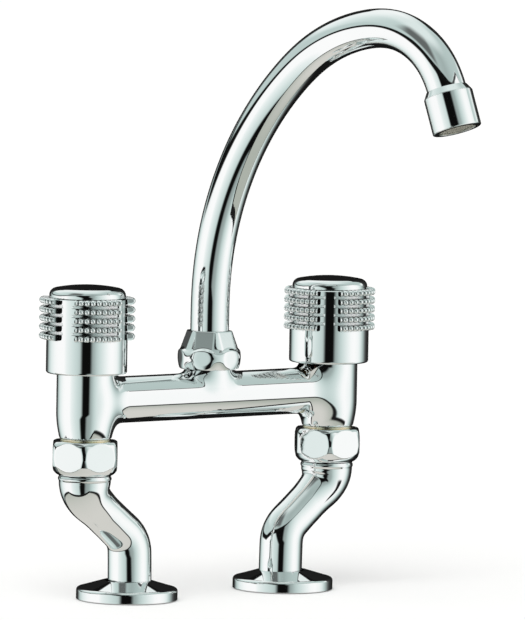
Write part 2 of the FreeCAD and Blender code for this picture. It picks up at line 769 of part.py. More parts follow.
# Swivel: a domed nut on the boss holds the spout's collar between a washer and a slip ring.
def make_swivel():
    barrel = turned("spout_nut_barrel", [
        ("0", "spout_nut_bottom"),
        ("spout_nut_foot_radius", "spout_nut_bottom"),
        ("spout_nut_waist_radius", "spout_nut_waist", "spout_nut_bulge_radius", 1),
        ("spout_nut_top_radius", "spout_nut_top"),
        ("0", "spout_nut_top"),
    ])
    block = hexagon("spout_nut_block", "spout_nut_width", "spout_nut_bottom - overrun",
                    "spout_nut_waist", "spout_nut_turn")
    facets = []
    for name, width, level in (("low", "spout_nut_width", "spout_nut_waist"),
                               ("high", "spout_nut_top_width", "spout_nut_top")):
        polygon = doc.addObject("Part::RegularPolygon", "spout_nut_%s_facets" % name)
        polygon.Polygon = int(hex_sides)
        bind(polygon, Circumradius="%s / sqrt(3)" % width)
        facets.append(place(polygon, z=level, turn="spout_nut_turn"))
    crown = doc.addObject("Part::Loft", "spout_nut_crown")
    crown.Sections = facets
    crown.Solid = True
    crown.Ruled = True
    thread = "boss_radius + assembly_gap"
    drill = turned("spout_nut_drill", [
        ("0", "spout_nut_bottom - overrun"),
        (thread, "spout_nut_bottom - overrun"),
        (thread, "spout_nut_roof"),
        ("spout_radius + swivel_gap", "spout_nut_roof"),
        ("spout_radius + swivel_gap", "spout_nut_top + overrun"),
        ("0", "spout_nut_top + overrun"),
    ])
    form = common("spout_nut_form", fused("spout_nut_hexagon", block, crown), barrel)
    node(cut("spout_nut", form, drill), "spout_nut")
    washer = ring("spout_thrust_washer", "boss_bore", "spout_collar_radius",
                  "boss_thread_top", "thrust_top")
    node(washer, "spout_thrust_washer")
    grooves = []
    for level in ("spigot_lower_ring", "spigot_upper_ring"):
        grooves += [
            ("spigot_radius", level + " - spigot_groove_width / 2"),
            ("spigot_groove", level + " - spigot_groove_width / 2"),
            ("spigot_groove", level + " + spigot_groove_width / 2"),
            ("spigot_radius", level + " + spigot_groove_width / 2"),
        ]
    spigot = turned("spout_spigot", [
        ("spigot_bore_radius", "spigot_foot"),
        ("spigot_radius", "spigot_foot"),
        *grooves,
        ("spigot_radius", "spout_collar_bottom"),
        ("spout_collar_radius", "spout_collar_bottom"),
        ("spout_collar_radius", "spout_collar_top"),
        ("spout_bore - assembly_gap", "spout_collar_top"),
        ("spout_bore - assembly_gap", "spout_collar_top + spigot_upstand"),
        ("spigot_bore_radius", "spout_collar_top + spigot_upstand"),
    ])
    node(spigot, "spout_spigot")
    rings = [
        torus(level, "spigot_radius - spigot_ring_radius", "spigot_ring_radius", level)
        for level in ("spigot_lower_ring", "spigot_upper_ring")
    ]
    node(fused("spout_o_rings", *rings), "spout_o_rings")
    slip = ring("spout_slip_ring", "tube_sleeve", "spout_collar_radius", "spout_collar_top", "slip_top")
    node(slip, "spout_slip_ring")


# Spout: an upright foot, three tangent bends of falling radius and a short straight outlet.
def spout_run(name, radius, lower, upper):
    pieces = [cylinder(name + "_riser", radius, "spout_collar_top - " + lower, "riser_top")]
    bends = (
        ("rise", "rise_x", "riser_top", "0"),
        ("crown", "crown_x", "crown_z", "crown_start"),
        ("fall", "fall_x", "fall_z", "fall_start"),
    )
    for bend, x, z, start in bends:
        item = doc.addObject("Part::Torus", "%s_%s" % (name, bend))
        bind(item, Radius1="spout_%s_radius" % bend, Radius2=radius, Angle3="spout_%s_angle" % bend)
        upright = "rotationz(180) * rotationx(90) * rotationz(%s)" % start
        bind(item, Placement="placement(vector(%s; 0; %s); %s)" % (x, z, upright))
        pieces.append(item)
    outlet = doc.addObject("Part::Cylinder", name + "_outlet")
    bind(outlet, Radius=radius, Height="spout_outlet_run + " + upper)
    bind(outlet, Placement="placement(vector(outlet_x; 0; outlet_z); rotationy(outlet_angle))")
    return fused(name, *pieces, outlet)


def make_spout():
    outside = spout_run("spout_outside", "spout_radius", "0", "0")
    inside = spout_run("spout_inside", "spout_bore", "overrun", "overrun")
    tube = cut("spout_tube", outside, inside)
    node(place(tube, turn="spout_turn"), "spout_tube")


# Aerator: a threaded end on the tube, a plated housing and its cartridge, in line with the outlet.
def make_aerator():
    def seat(item, label):
        node(swivel_place(item, "aerator_x", "aerator_z", "outlet_angle"), label)

    seat(turned("spout_end_fitting", [
        ("tube_sleeve", "0"),
        ("tube_sleeve + aerator_shoulder_lip", "0"),
        ("aerator_radius", "aerator_shoulder"),
        ("aerator_thread_radius", "aerator_shoulder"),
        ("aerator_thread_radius", "thread_end"),
        ("tube_sleeve", "thread_end"),
    ]), "spout_end_fitting")
    thread = "aerator_thread_radius + assembly_gap"
    seat(turned("aerator_housing", [
        (thread, "aerator_shoulder"),
        ("aerator_radius", "aerator_shoulder"),
        ("aerator_radius", "mouth_end - aerator_edge_round"),
        ("aerator_radius - aerator_edge_round", "mouth_end", "aerator_edge_round", 1),
        ("aerator_mouth_radius", "mouth_end"),
        ("aerator_mouth_radius", "lip_start"),
        ("aerator_bore_radius", "lip_start"),
        ("aerator_bore_radius", "gasket_end"),
        (thread, "gasket_end"),
    ]), "aerator_housing")
    gasket = ring("aerator_gasket", "spout_bore", "aerator_thread_radius", "thread_end", "gasket_end")
    seat(gasket, "aerator_gasket")
    cup = turned("aerator_cup", [
        ("0", "gasket_end"),
        ("aerator_cartridge_radius", "gasket_end"),
        ("aerator_cartridge_radius", "cartridge_end"),
        ("aerator_cartridge_radius - aerator_plate", "cartridge_end"),
        ("aerator_cartridge_radius - aerator_plate", "gasket_end + aerator_plate"),
        ("0", "gasket_end + aerator_plate"),
    ])
    jets = []
    for index in range(int(jet_count)):
        angle = "360 * %d / %d" % (index, jet_count)
        x = "aerator_jet_circle * cos(%s)" % angle
        y = "aerator_jet_circle * sin(%s)" % angle
        jets.append(cylinder("aerator_jet_%d" % index, "aerator_jet_radius",
                             "gasket_end - overrun", "gasket_end + aerator_plate + overrun", x, y))
    seat(cut("aerator_cartridge", cup, fused("aerator_jets", *jets)), "aerator_cartridge")
    seat(turned("aerator_screen", [
        ("0", "screen_start"),
        ("aerator_cartridge_radius", "screen_start"),
        ("aerator_cartridge_radius", "lip_start"),
        ("0", "lip_start"),
    ]), "aerator_screen")


make_bridge_body()
for side, x, turn in (("hot", "-half_centres", "0"), ("cold", "half_centres", "180")):
    foot_x = "-foot_place" if side == "hot" else "foot_place"
    knob_turn = side + "_knob_turn"
    make_leg(side, x, turn)
    make_foot(side, foot_x)
    make_union(side, x)
    make_bonnet(side, x)
    make_spindle(side, x, knob_turn)
    make_valve(side, x)
    make_knob(side, x, knob_turn)
make_swivel()
make_spout()
make_aerator()
doc.recompute()

for item in doc.Objects:
    if "Invalid" in item.State or "Error" in item.State:
        raise RuntimeError("%s did not build: %s" % (item.Label, item.State))
for item in parts:
    if item.Shape.isNull() or not item.Shape.isValid() or not item.Shape.Solids:
        raise RuntimeError("%s has no valid solid" % item.Label)

os.makedirs("parts", exist_ok=True)
for item in parts:
    item.Shape.exportStep("parts/%s.step" % item.Label)
    box = item.Shape.BoundBox
    print("%-22s solids %d volume %9.1f z %7.2f to %7.2f"
          % (item.Label, len(item.Shape.Solids), item.Shape.Volume, box.ZMin, box.ZMax))
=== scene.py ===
from math import asin, cos, degrees, pi, radians, sin, sqrt
import bmesh
import numpy as np
import bpy
from mathutils import Matrix, Vector


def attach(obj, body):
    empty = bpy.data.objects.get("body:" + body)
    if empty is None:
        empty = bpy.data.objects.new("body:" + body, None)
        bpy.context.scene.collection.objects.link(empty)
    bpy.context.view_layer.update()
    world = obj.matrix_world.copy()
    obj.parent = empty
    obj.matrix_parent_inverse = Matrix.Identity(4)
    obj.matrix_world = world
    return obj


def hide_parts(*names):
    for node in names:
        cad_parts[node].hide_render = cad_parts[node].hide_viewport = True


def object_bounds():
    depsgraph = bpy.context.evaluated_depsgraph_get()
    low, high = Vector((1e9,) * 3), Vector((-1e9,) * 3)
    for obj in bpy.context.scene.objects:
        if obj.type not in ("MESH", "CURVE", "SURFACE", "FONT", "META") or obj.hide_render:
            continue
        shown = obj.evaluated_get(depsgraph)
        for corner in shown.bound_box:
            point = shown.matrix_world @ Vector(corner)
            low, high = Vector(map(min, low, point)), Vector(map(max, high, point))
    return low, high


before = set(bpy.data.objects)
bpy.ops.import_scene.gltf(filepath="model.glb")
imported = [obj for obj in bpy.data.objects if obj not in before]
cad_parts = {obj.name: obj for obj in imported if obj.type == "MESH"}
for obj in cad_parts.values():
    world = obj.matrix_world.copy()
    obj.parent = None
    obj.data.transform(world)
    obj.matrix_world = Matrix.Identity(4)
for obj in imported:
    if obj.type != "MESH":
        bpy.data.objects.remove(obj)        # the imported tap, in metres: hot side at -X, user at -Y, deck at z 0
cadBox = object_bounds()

mm = 0.001
weld = 1e-7        # points closer than this become one, metres
scene = bpy.context.scene
sides = {"hot": -75.0, "cold": 75.0}        # column axes along X, mm


# Shader wiring: a Wire is one output socket, and plain arithmetic on it adds Math nodes.
class Wire:
    def __init__(self, tree, socket):
        self.tree = tree
        self.socket = socket

    def maths(self, operation, first, second):
        return self.tree.add("ShaderNodeMath", {"operation": operation}, {0: first, 1: second})

    def __add__(self, other):
        return self.maths("ADD", self, other)

    def __radd__(self, other):
        return self.maths("ADD", other, self)

    def __sub__(self, other):
        return self.maths("SUBTRACT", self, other)

    def __rsub__(self, other):
        return self.maths("SUBTRACT", other, self)

    def __mul__(self, other):
        return self.maths("MULTIPLY", self, other)

    def __rmul__(self, other):
        return self.maths("MULTIPLY", other, self)

    def __truediv__(self, other):
        return self.maths("DIVIDE", self, other)

    def __rtruediv__(self, other):
        return self.maths("DIVIDE", other, self)

    def __lt__(self, other):
        return self.maths("LESS_THAN", self, other)

    def __or__(self, other):
        return self.maths("MAXIMUM", self, other)


class Tree:
    def __init__(self, owner):
        owner.use_nodes = True
        self.nodes = owner.node_tree.nodes
        self.links = owner.node_tree.links
        self.nodes.clear()

    def add(self, kind, settings=None, inputs=None, out=0):
        node = self.nodes.new(kind)
        for name, value in (settings or {}).items():
            if name == "stops":
                self.setStops(node.color_ramp, value)
            else:
                setattr(node, name, value)
        for name, value in (inputs or {}).items():
            if isinstance(value, Wire):
                self.links.new(value.socket, node.inputs[name])
            else:
                node.inputs[name].default_value = value
        return Wire(self, node.outputs[out]) if node.outputs else node

    def setStops(self, ramp, stops):
        ramp.elements.remove(ramp.elements[1])
        ramp.elements[0].position, ramp.elements[0].color = stops[0]
        for position, colour in stops[1:]:
            ramp.elements.new(position).color = colour

    def blend(self, mask, first, second):
        return self.add("ShaderNodeMix", {"data_type": "RGBA"}, {0: mask, 6: first, 7: second}, 2)

    def noise(self, vector, scale, detail=2.0):
        return self.add("ShaderNodeTexNoise", {}, {"Vector": vector, "Scale": scale, "Detail": detail})

    def ease(self, value, low, high):
        return self.add("ShaderNodeMapRange", {"interpolation_type": "SMOOTHSTEP"},
                        {"Value": value, "From Min": low, "From Max": high})


def grey(level):
    return (level, level, level, 1.0)


class Finish(Tree):
    def __init__(self, name):
        self.material = bpy.data.materials.new(name)
        super().__init__(self.material)
        self.place = self.add("ShaderNodeTexCoord", out="Object")

    def axis(self, letter):
        return self.add("ShaderNodeSeparateXYZ", {}, {0: self.place}, letter)

    def bump(self, height, distance, strength, **more):
        inputs = {"Height": height, "Distance": distance, "Strength": strength, **more}
        return self.add("ShaderNodeBump", {}, inputs)

    def coat(self, **inputs):
        named = {key.replace("_", " "): value for key, value in inputs.items()}
        shader = self.add("ShaderNodeBsdfPrincipled", {}, named)
        self.add("ShaderNodeOutputMaterial", {}, {"Surface": shader})
        return self.material


# Plated chrome: a mirror with a faint polishing haze, fine wipe marks, softened edges and painted shade in its
# crevices.
chromeLook = {
    "tint": (0.975, 0.98, 0.98, 1.0), "shade": (0.93, 0.945, 0.942, 1.0), "rough": 0.018, "haze": 0.04,
    "cloudScale": 38.0, "cloudDetail": 3.0, "grainScale": 900.0, "grainDepth": 0.000002, "grainStrength": 0.6,
    "edge": 0.00035, "samples": 6,
    "paintedShade": (0.05, 0.06, 0.062, 1.0), "paintedShadeReach": 0.0016, "paintedShadeStart": 0.12, "paintedShadeEnd": 0.62,
}
# the gaps between the knobs' beads take their painted shade sooner and further out
beadLook = {**chromeLook, "paintedShadeReach": 0.002, "paintedShadeStart": 0.22, "paintedShadeEnd": 0.70}


def chromeParts(finish, look, edge=True):
    cloud = finish.noise(finish.place, look["cloudScale"], look["cloudDetail"])
    grain = finish.noise(finish.place, look["grainScale"])
    colour = finish.blend(cloud, look["tint"], look["shade"])
    # painted shade: the colour turns dark where ambient occlusion finds other surfaces close by, in crevices and
    # joints
    sky = finish.add("ShaderNodeAmbientOcclusion", {"samples": look["samples"]},
                     {"Distance": look["paintedShadeReach"]}, "AO")
    free = finish.ease(sky, look["paintedShadeStart"], look["paintedShadeEnd"])
    colour = finish.blend(free, look["paintedShade"], colour)
    rough = look["rough"] + look["haze"] * cloud * grain
    rounded = {}
    if edge:
        bevel = finish.add("ShaderNodeBevel", {"samples": look["samples"]}, {"Radius": look["edge"]})
        rounded = {"Normal": bevel}
    normal = finish.bump(grain, look["grainDepth"], look["grainStrength"], **rounded)
    return colour, rough, normal


def makeChrome(name, edge=True, look=chromeLook):
    finish = Finish(name)
    colour, rough, normal = chromeParts(finish, look, edge)
    return finish.coat(Base_Color=colour, Roughness=rough, Normal=normal, Metallic=1.0)


# The cast body is plated down to the union thread, which is left as bare brass.
bareLook = {"top": 82.25, "tint": (0.86, 0.78, 0.58, 1.0), "rough": 0.16}


def makeBodyChrome(name):
    finish = Finish(name)
    colour, rough, normal = chromeParts(finish, chromeLook)
    bare = finish.axis("Z") < bareLook["top"] * mm
    colour = finish.blend(bare, colour, bareLook["tint"])
    rough = rough + bare * bareLook["rough"]
    return finish.coat(Base_Color=colour, Roughness=rough, Normal=normal, Metallic=1.0)


# Turned metals: rings of tool marks along each part's height.
toolMarks = {"cloudDetail": 4.0, "waver": 1.2, "detail": 2.0, "depth": 0.00001, "strength": 0.5,
             "cloudRough": 0.12, "markRough": 0.06}
turnedLooks = {
    "paleBrass": {"tint": (0.93, 0.87, 0.70, 1.0), "shade": (0.86, 0.78, 0.58, 1.0), "rough": 0.16,
                  "cloudScale": 160.0, "markScale": 900.0},
    "brass": {"tint": (0.80, 0.62, 0.30, 1.0), "shade": (0.66, 0.47, 0.20, 1.0), "rough": 0.22,
              "cloudScale": 160.0, "markScale": 900.0},
    "steel": {"tint": (0.66, 0.67, 0.68, 1.0), "shade": (0.55, 0.56, 0.57, 1.0), "rough": 0.24,
              "cloudScale": 200.0, "markScale": 1200.0},
    "mesh": {"tint": (0.62, 0.58, 0.50, 1.0), "shade": (0.44, 0.41, 0.35, 1.0), "rough": 0.36,
             "cloudScale": 400.0, "markScale": 700.0},
}


def makeTurned(name, look):
    finish = Finish(name)
    cloud = finish.noise(finish.place, look["cloudScale"], toolMarks["cloudDetail"])
    marks = finish.add("ShaderNodeTexWave", {"wave_type": "BANDS", "bands_direction": "Z"},
                       {"Vector": finish.place, "Scale": look["markScale"], "Distortion": toolMarks["waver"],
                        "Detail": toolMarks["detail"]}, "Fac")
    colour = finish.blend(cloud, look["tint"], look["shade"])
    rough = look["rough"] + toolMarks["cloudRough"] * cloud + toolMarks["markRough"] * marks
    normal = finish.bump(marks, toolMarks["depth"], toolMarks["strength"])
    return finish.coat(Base_Color=colour, Roughness=rough, Normal=normal, Metallic=1.0)


# Seals and plastics: mottled colour over a fine moulded or pressed grain.
sealGrain = {"cloudDetail": 4.0, "grainDetail": 3.0, "grainRough": 0.15, "strength": 0.7}
sealLooks = {
    "rubber": {"tint": (0.035, 0.035, 0.037, 1.0), "shade": (0.018, 0.018, 0.02, 1.0), "rough": 0.52,
               "cloudScale": 120.0, "grainScale": 1500.0, "grainDepth": 0.00003},
    "fibre": {"tint": (0.46, 0.18, 0.12, 1.0), "shade": (0.33, 0.11, 0.08, 1.0), "rough": 0.68,
              "cloudScale": 500.0, "grainScale": 1100.0, "grainDepth": 0.00006},
    "nylon": {"tint": (0.86, 0.86, 0.83, 1.0), "shade": (0.78, 0.78, 0.74, 1.0), "rough": 0.38,
              "cloudScale": 90.0, "grainScale": 1800.0, "grainDepth": 0.00002},
}


def makeSeal(name, look):
    finish = Finish(name)
    cloud = finish.noise(finish.place, look["cloudScale"], sealGrain["cloudDetail"])
    grain = finish.noise(finish.place, look["grainScale"], sealGrain["grainDetail"])
    colour = finish.blend(cloud, look["tint"], look["shade"])
    rough = look["rough"] + sealGrain["grainRough"] * grain
    normal = finish.bump(grain, look["grainDepth"], sealGrain["strength"])
    return finish.coat(Base_Color=colour, Roughness=rough, Normal=normal)


# the fine meshes below have their own round edges and need none from the shader
finishes = {
    "chrome": makeChrome("polishedChrome"),
    "bodyChrome": makeBodyChrome("bodyChrome"),
    "smoothChrome": makeChrome("smoothChrome", edge=False),
    "beadChrome": makeChrome("beadChrome", edge=False, look=beadLook),
}
for slotName, look in turnedLooks.items():
    finishes[slotName] = makeTurned(slotName + "Turned", look)
for slotName, look in sealLooks.items():
    finishes[slotName] = makeSeal(slotName + "Seal", look)

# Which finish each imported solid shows, by the end of its name.
nodeFinish = {
    "bodyChrome": ("bridge_body",),
    "chrome": ("leg", "flange", "union_nut", "spout_nut", "knob", "knob_cap", "spout_tube", "end_fitting",
               "housing"),
    "brass": ("tail_ring", "bonnet", "spindle", "spigot", "piston"),
    "steel": ("screw", "clip"),
    "mesh": ("screen",),
    "rubber": ("gasket", "o_rings", "valve_washer"),
    "fibre": ("union_washer", "bonnet_seal"),
    "nylon": ("slip_ring", "thrust_washer", "cartridge"),
}


def finishFor(nodeName):
    matches = [(len(end), key) for key, ends in nodeFinish.items() for end in ends if nodeName.endswith(end)]
    return finishes[max(matches)[1]]


for nodeName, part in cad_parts.items():
    part.data.materials.clear()
    part.data.materials.append(finishFor(nodeName))
print("finishes on", len(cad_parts), "solids")


# Mesh tools. Shapes are given in mm; every piece is one mesh object that rides on a body.
def smoothStep(value):
    value = min(max(value, 0.0), 1.0)
    return value * value * (3 - 2 * value)


def gridFaces(rings, across, closeRings, closeAcross):
    faces = []
    for i in range(rings if closeRings else rings - 1):
        for j in range(across if closeAcross else across - 1):
            a, b = i * across, (i + 1) % rings * across
            k = (j + 1) % across
            faces.append((a + j, b + j, b + k, a + k))
    return faces


def cappedGrid(points, rings):
    # an open run of closed rings, with one face over each end
    across = len(points) // rings
    ends = [tuple(range(across)), tuple(range(len(points) - across, len(points)))]
    return points, gridFaces(rings, across, False, True) + ends


def arc(centreX, centreZ, radius, start, end, steps):
    angles = [radians(start + (end - start) * i / steps) for i in range(steps + 1)]
    return [(centreX + radius * cos(a), centreZ + radius * sin(a)) for a in angles]


def turnedGrid(profile, around, x):
    points = []
    for i in range(around):
        a = 2 * pi * i / around
        points += [(x + r * cos(a), r * sin(a), z) for r, z in profile]
    return points, gridFaces(around, len(profile), True, True)


def makePiece(name, islands, body, finish, sharp=38.0, place=None):
    # edges that turn by more than sharp degrees stay crisp
    form = bmesh.new()
    for points, faces in islands:
        corners = [form.verts.new(Vector(point) * mm) for point in points]
        for face in faces:
            form.faces.new([corners[i] for i in face])
    bmesh.ops.remove_doubles(form, verts=form.verts, dist=weld)
    bmesh.ops.dissolve_degenerate(form, edges=form.edges, dist=weld)
    bmesh.ops.recalc_face_normals(form, faces=form.faces)
    for face in form.faces:
        face.smooth = True
    for edge in form.edges:
        if len(edge.link_faces) == 2 and edge.calc_face_angle(0.0) > radians(sharp):
            edge.smooth = False
    if place:
        form.transform(place)
    mesh = bpy.data.meshes.new(name)
    form.to_mesh(mesh)
    form.free()
    mesh.materials.append(finishes[finish])
    piece = bpy.data.objects.new(name, mesh)
    scene.collection.objects.link(piece)
    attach(piece, body)
    print("made", name, len(mesh.vertices), "points")
    return piece


# Knobs: a plain skirt, a grooved barrel and four groups of five bead rows.
knobShape = {
    "bottom": 114.9, "skirtTop": 130.4, "barrelTop": 152.5, "radius": 20.25, "around": 288,
    "skirtRound": 1.2, "skirtSteps": 8, "topRound": 0.35, "support": 0.3,
    "hollow": 18.35, "ceiling": 145.0, "hub": 8.5, "hubBottom": 132.8, "hubBore": 4.6, "hubBoreTop": 146.0,
    "screwBore": 2.5, "recess": 14.1, "recessFloor": 149.0,
    "rows": 5, "rowPitch": 4.45, "middle": 142.4, "groups": 4, "ribAngle": 61.0,
    "grooveAngle": 76.0, "grooveFade": 2.5, "grooveDepth": 0.9, "grooveWidth": 1.5, "grooveWall": 0.12,
    "grooveBelly": 1.06, "grooveSupport": 0.25,
    "beads": 8, "beadSteps": 12, "beadOval": 0.96, "beadHalf": 1.5, "beadNeck": 0.6, "noseSteps": 12,
    "ribRoot": 0.7, "ribCheek": 0.6, "ribFlat": 22.45, "neckFlat": 21.2, "outer": 23.97, "neckOuter": 21.6,
}
knobTurns = {"hot": -19.5, "cold": 8.0}


def rowLevel(shape, row):
    return shape["middle"] + shape["rowPitch"] * (row - (shape["rows"] - 1) / 2)


def knobBarrel(shape, x, turn):
    radius, top = shape["radius"], shape["barrelTop"]
    inside = [
        (shape["hubBore"], shape["hubBottom"]), (shape["hub"], shape["hubBottom"]),
        (shape["hub"], shape["ceiling"]), (shape["hollow"], shape["ceiling"]),
        (shape["hollow"], shape["bottom"]),
    ]
    skirtZ = shape["bottom"] + shape["skirtRound"]
    skirt = arc(radius - shape["skirtRound"], skirtZ, shape["skirtRound"], -90, 0, shape["skirtSteps"])
    # a support ring beside each rounding keeps the long faces straight in the mirror
    straight = [(radius, skirtZ + shape["support"]), (radius, shape["skirtTop"])]
    # grooves between the bead rows, as (level, share of the full depth)
    half, wall, support = shape["grooveWidth"] / 2, shape["grooveWall"], shape["grooveSupport"]
    grooves = []
    for row in range(shape["rows"] - 1):
        level = rowLevel(shape, row + 0.5)
        grooves += [(level - half - support, 0.0), (level - half, 0.0), (level - half + wall, 1.0),
                    (level, shape["grooveBelly"]),
                    (level + half - wall, 1.0), (level + half, 0.0), (level + half + support, 0.0)]
    edge = top - shape["topRound"]
    rim = [
        (radius, edge - shape["support"]), (radius, edge), (radius - shape["topRound"], top),
        (shape["recess"], top), (shape["recess"], shape["recessFloor"]),
        (shape["screwBore"], shape["recessFloor"]), (shape["screwBore"], shape["hubBoreTop"]),
        (shape["hubBore"], shape["hubBoreTop"]),
    ]
    points = []
    span = 360 / shape["groups"]
    for i in range(shape["around"]):
        angle = 360 * i / shape["around"]
        # the grooves run out softly in the smooth bands between the groups
        off = abs((angle - turn + span / 2) % span - span / 2)
        depth = shape["grooveDepth"] * smoothStep((shape["grooveAngle"] / 2 - off) / shape["grooveFade"])
        grooved = [(radius - depth * share, level) for level, share in grooves]
        a = radians(angle)
        points += [(x + r * cos(a), r * sin(a), z) for r, z in inside + skirt + straight + grooved + rim]
    return points, gridFaces(shape["around"], len(points) // shape["around"], True, True)


def beadRow(shape, x, level, middleAngle):
    steps = shape["beads"] * shape["beadSteps"]
    root, cheek = shape["radius"] - shape["ribRoot"], shape["radius"] + shape["ribCheek"]
    points = []
    for i in range(steps + 1):
        # half a bead stands at each end of the row
        share = (i / shape["beadSteps"] + 0.5) % 1 * 2 - 1
        full = sqrt(1 - (shape["beadOval"] * share) ** 2)
        half = shape["beadNeck"] + (shape["beadHalf"] - shape["beadNeck"]) * full
        flat = shape["neckFlat"] + (shape["ribFlat"] - shape["neckFlat"]) * full
        reach = shape["neckOuter"] + (shape["outer"] - shape["neckOuter"]) * full - flat
        nose = [(flat + reach * r, half * z) for r, z in arc(0, 0, 1, -90, 90, shape["noseSteps"])]
        section = [(root, -half), (cheek, -half)] + nose + [(cheek, half), (root, half)]
        a = radians(middleAngle + shape["ribAngle"] * (i / steps - 0.5))
        points += [(x + r * cos(a), r * sin(a), level + z) for r, z in section]
    return cappedGrid(points, steps + 1)


for side, x in sides.items():
    turn = knobTurns[side]
    islands = [knobBarrel(knobShape, x, turn)]
    for group in range(knobShape["groups"]):
        for row in range(knobShape["rows"]):
            middleAngle = turn + 360 * group / knobShape["groups"]
            islands.append(beadRow(knobShape, x, rowLevel(knobShape, row), middleAngle))
    knob = makePiece(side + "BeadedKnob", islands, side + "_control", "beadChrome")
    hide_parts(side + "_knob")

# Knob caps: a low dome with a rounded shoulder, standing on a thin shadow line.
capShape = {
    "radius": 19.1, "bottom": 152.5, "top": 159.0, "around": 160,
    "crown": 1.6, "crownSteps": 24, "shoulder": 2.9, "shoulderSteps": 12, "support": 0.15,
    "foot": 0.4, "footSupport": 0.1, "footIn": 0.25, "footRise": 0.1, "footUnder": 0.8,
    "plug": 14.0, "plugWall": 1.6, "plugBottom": 149.1,
}


def capProfile(shape):
    radius, bottom = shape["radius"], shape["bottom"]
    flatRadius = radius - shape["shoulder"]
    dome = (flatRadius ** 2 + shape["crown"] ** 2) / (2 * shape["crown"])
    lean = asin(flatRadius / dome)
    leans = [lean * i / shape["crownSteps"] for i in range(shape["crownSteps"] + 1)]
    crown = [(dome * sin(a), shape["top"] - dome * (1 - cos(a))) for a in leans]
    # the shoulder rolls from the dome's slope to upright
    roll = shape["shoulder"] / (1 - sin(lean))
    rollZ = shape["top"] - shape["crown"] - roll * cos(lean)
    shoulder = arc(radius - roll, rollZ, roll, 90 - degrees(lean), 0, shape["shoulderSteps"])[1:]
    foot = bottom + shape["foot"]
    inner = shape["plug"] - shape["plugWall"]
    low = [
        (radius, rollZ - shape["support"]), (radius, foot + shape["footSupport"]), (radius, foot),
        (radius - shape["footIn"], bottom + shape["footRise"]), (radius - shape["footUnder"], bottom),
        (shape["plug"], bottom), (shape["plug"], shape["plugBottom"]), (inner, shape["plugBottom"]),
        (inner, bottom), (0.0, bottom),
    ]
    return crown + shoulder + low


for side, x in sides.items():
    capGrid = turnedGrid(capProfile(capShape), capShape["around"], x)
    cap = makePiece(side + "Cap", [capGrid], side + "_control", "smoothChrome")
    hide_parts(side + "_knob_cap")

# Union threads: bare brass thread between the nut and the column foot.
threadShape = {"bottom": 80.1, "turns": 2, "pitch": 1.1, "inner": 11.6, "root": 12.4, "crest": 12.85,
               "rootLift": 0.1, "crestFrom": 0.45, "crestTo": 0.65, "around": 128, "sharp": 30.0}


def threadProfile(shape):
    profile = [(shape["inner"], shape["bottom"])]
    for i in range(shape["turns"]):
        level = shape["bottom"] + shape["pitch"] * i
        profile += [(shape["root"], level + shape["rootLift"]), (shape["crest"], level + shape["crestFrom"]),
                    (shape["crest"], level + shape["crestTo"])]
    top = shape["bottom"] + shape["pitch"] * shape["turns"]
    return profile + [(shape["root"], top), (shape["inner"], top)]


for side, x in sides.items():
    threadGrid = turnedGrid(threadProfile(threadShape), threadShape["around"], x)
    makePiece(side + "UnionThread", [threadGrid], "body", "paleBrass", threadShape["sharp"])


# Tubes follow a line in one upright plane: straight runs and bends, with each bend eased in and out.
def tubeLine(runs, startZ, startHeading, step, ease):
    # each run is (length, 0) when straight or (radius, degrees) when bent; rows are (out, z, heading)
    bends = []
    for size, turn in runs:
        length = size if not turn else size * radians(abs(turn))
        bends.append((length, radians(turn) / length))
    total = sum(length for length, bend in bends)
    count = int(total / step)
    step = total / count
    taps = 8        # the bend is averaged over so many places each way

    def bendAt(s):
        for length, bend in bends:
            if s <= length:
                return bend
            s -= length
        return 0.0

    def trace(reach):
        out, z, heading = 0.0, startZ, radians(startHeading)
        line = [(out, z, heading)]
        for i in range(count):
            s = (i + 0.5) * step
            spread = [bendAt(min(max(s + reach * k / taps, 0.0), total)) for k in range(-taps, taps + 1)]
            turn = sum(spread) / len(spread) * step
            out += step * sin(heading + turn / 2)
            z += step * cos(heading + turn / 2)
            heading += turn
            line.append((out, z, heading))
        return line

    # the eased line is drawn back so that it ends where the plain one does
    soft, plain = trace(ease), trace(0.0)
    offOut, offZ = plain[-1][0] - soft[-1][0], plain[-1][1] - soft[-1][1]
    shares = [smoothStep(i / count) for i in range(count + 1)]
    return [(out + offOut * k, z + offZ * k, heading) for (out, z, heading), k in zip(soft, shares)]


def tubeGrid(line, outer, inner, around):
    # outer and inner hold one radius for each row of the line
    points = []
    order = list(zip(line, outer)) + list(zip(line, inner))[::-1]
    for (out, z, heading), radius in order:
        for k in range(around):
            a = 2 * pi * k / around
            side = radius * cos(a)
            points.append((out + side * cos(heading), radius * sin(a), z - side * sin(heading)))
    return points, gridFaces(len(order), around, True, True)


# Legs: a rolled collar under the union nut, a tapering S bend and an upright foot.
legShape = {
    "top": 63.6, "offset": 26.65, "topRun": 3.7, "bend": 14.0, "angle": 48.0, "ease": 2.2, "step": 0.5,
    "around": 96, "sharp": 40.0, "neckTop": 69.9, "neck": 10.4,
    "shoulder": 13.0, "waist": 10.3, "waistHalf": 1.5, "waistEase": 1.0, "foot": 11.0,
    "collar": 0.45, "collarTop": 63.3, "collarHeight": 2.3,
    "boreTop": 8.0, "bore": 6.5, "socket": 7.475, "socketTop": 12.0,
}


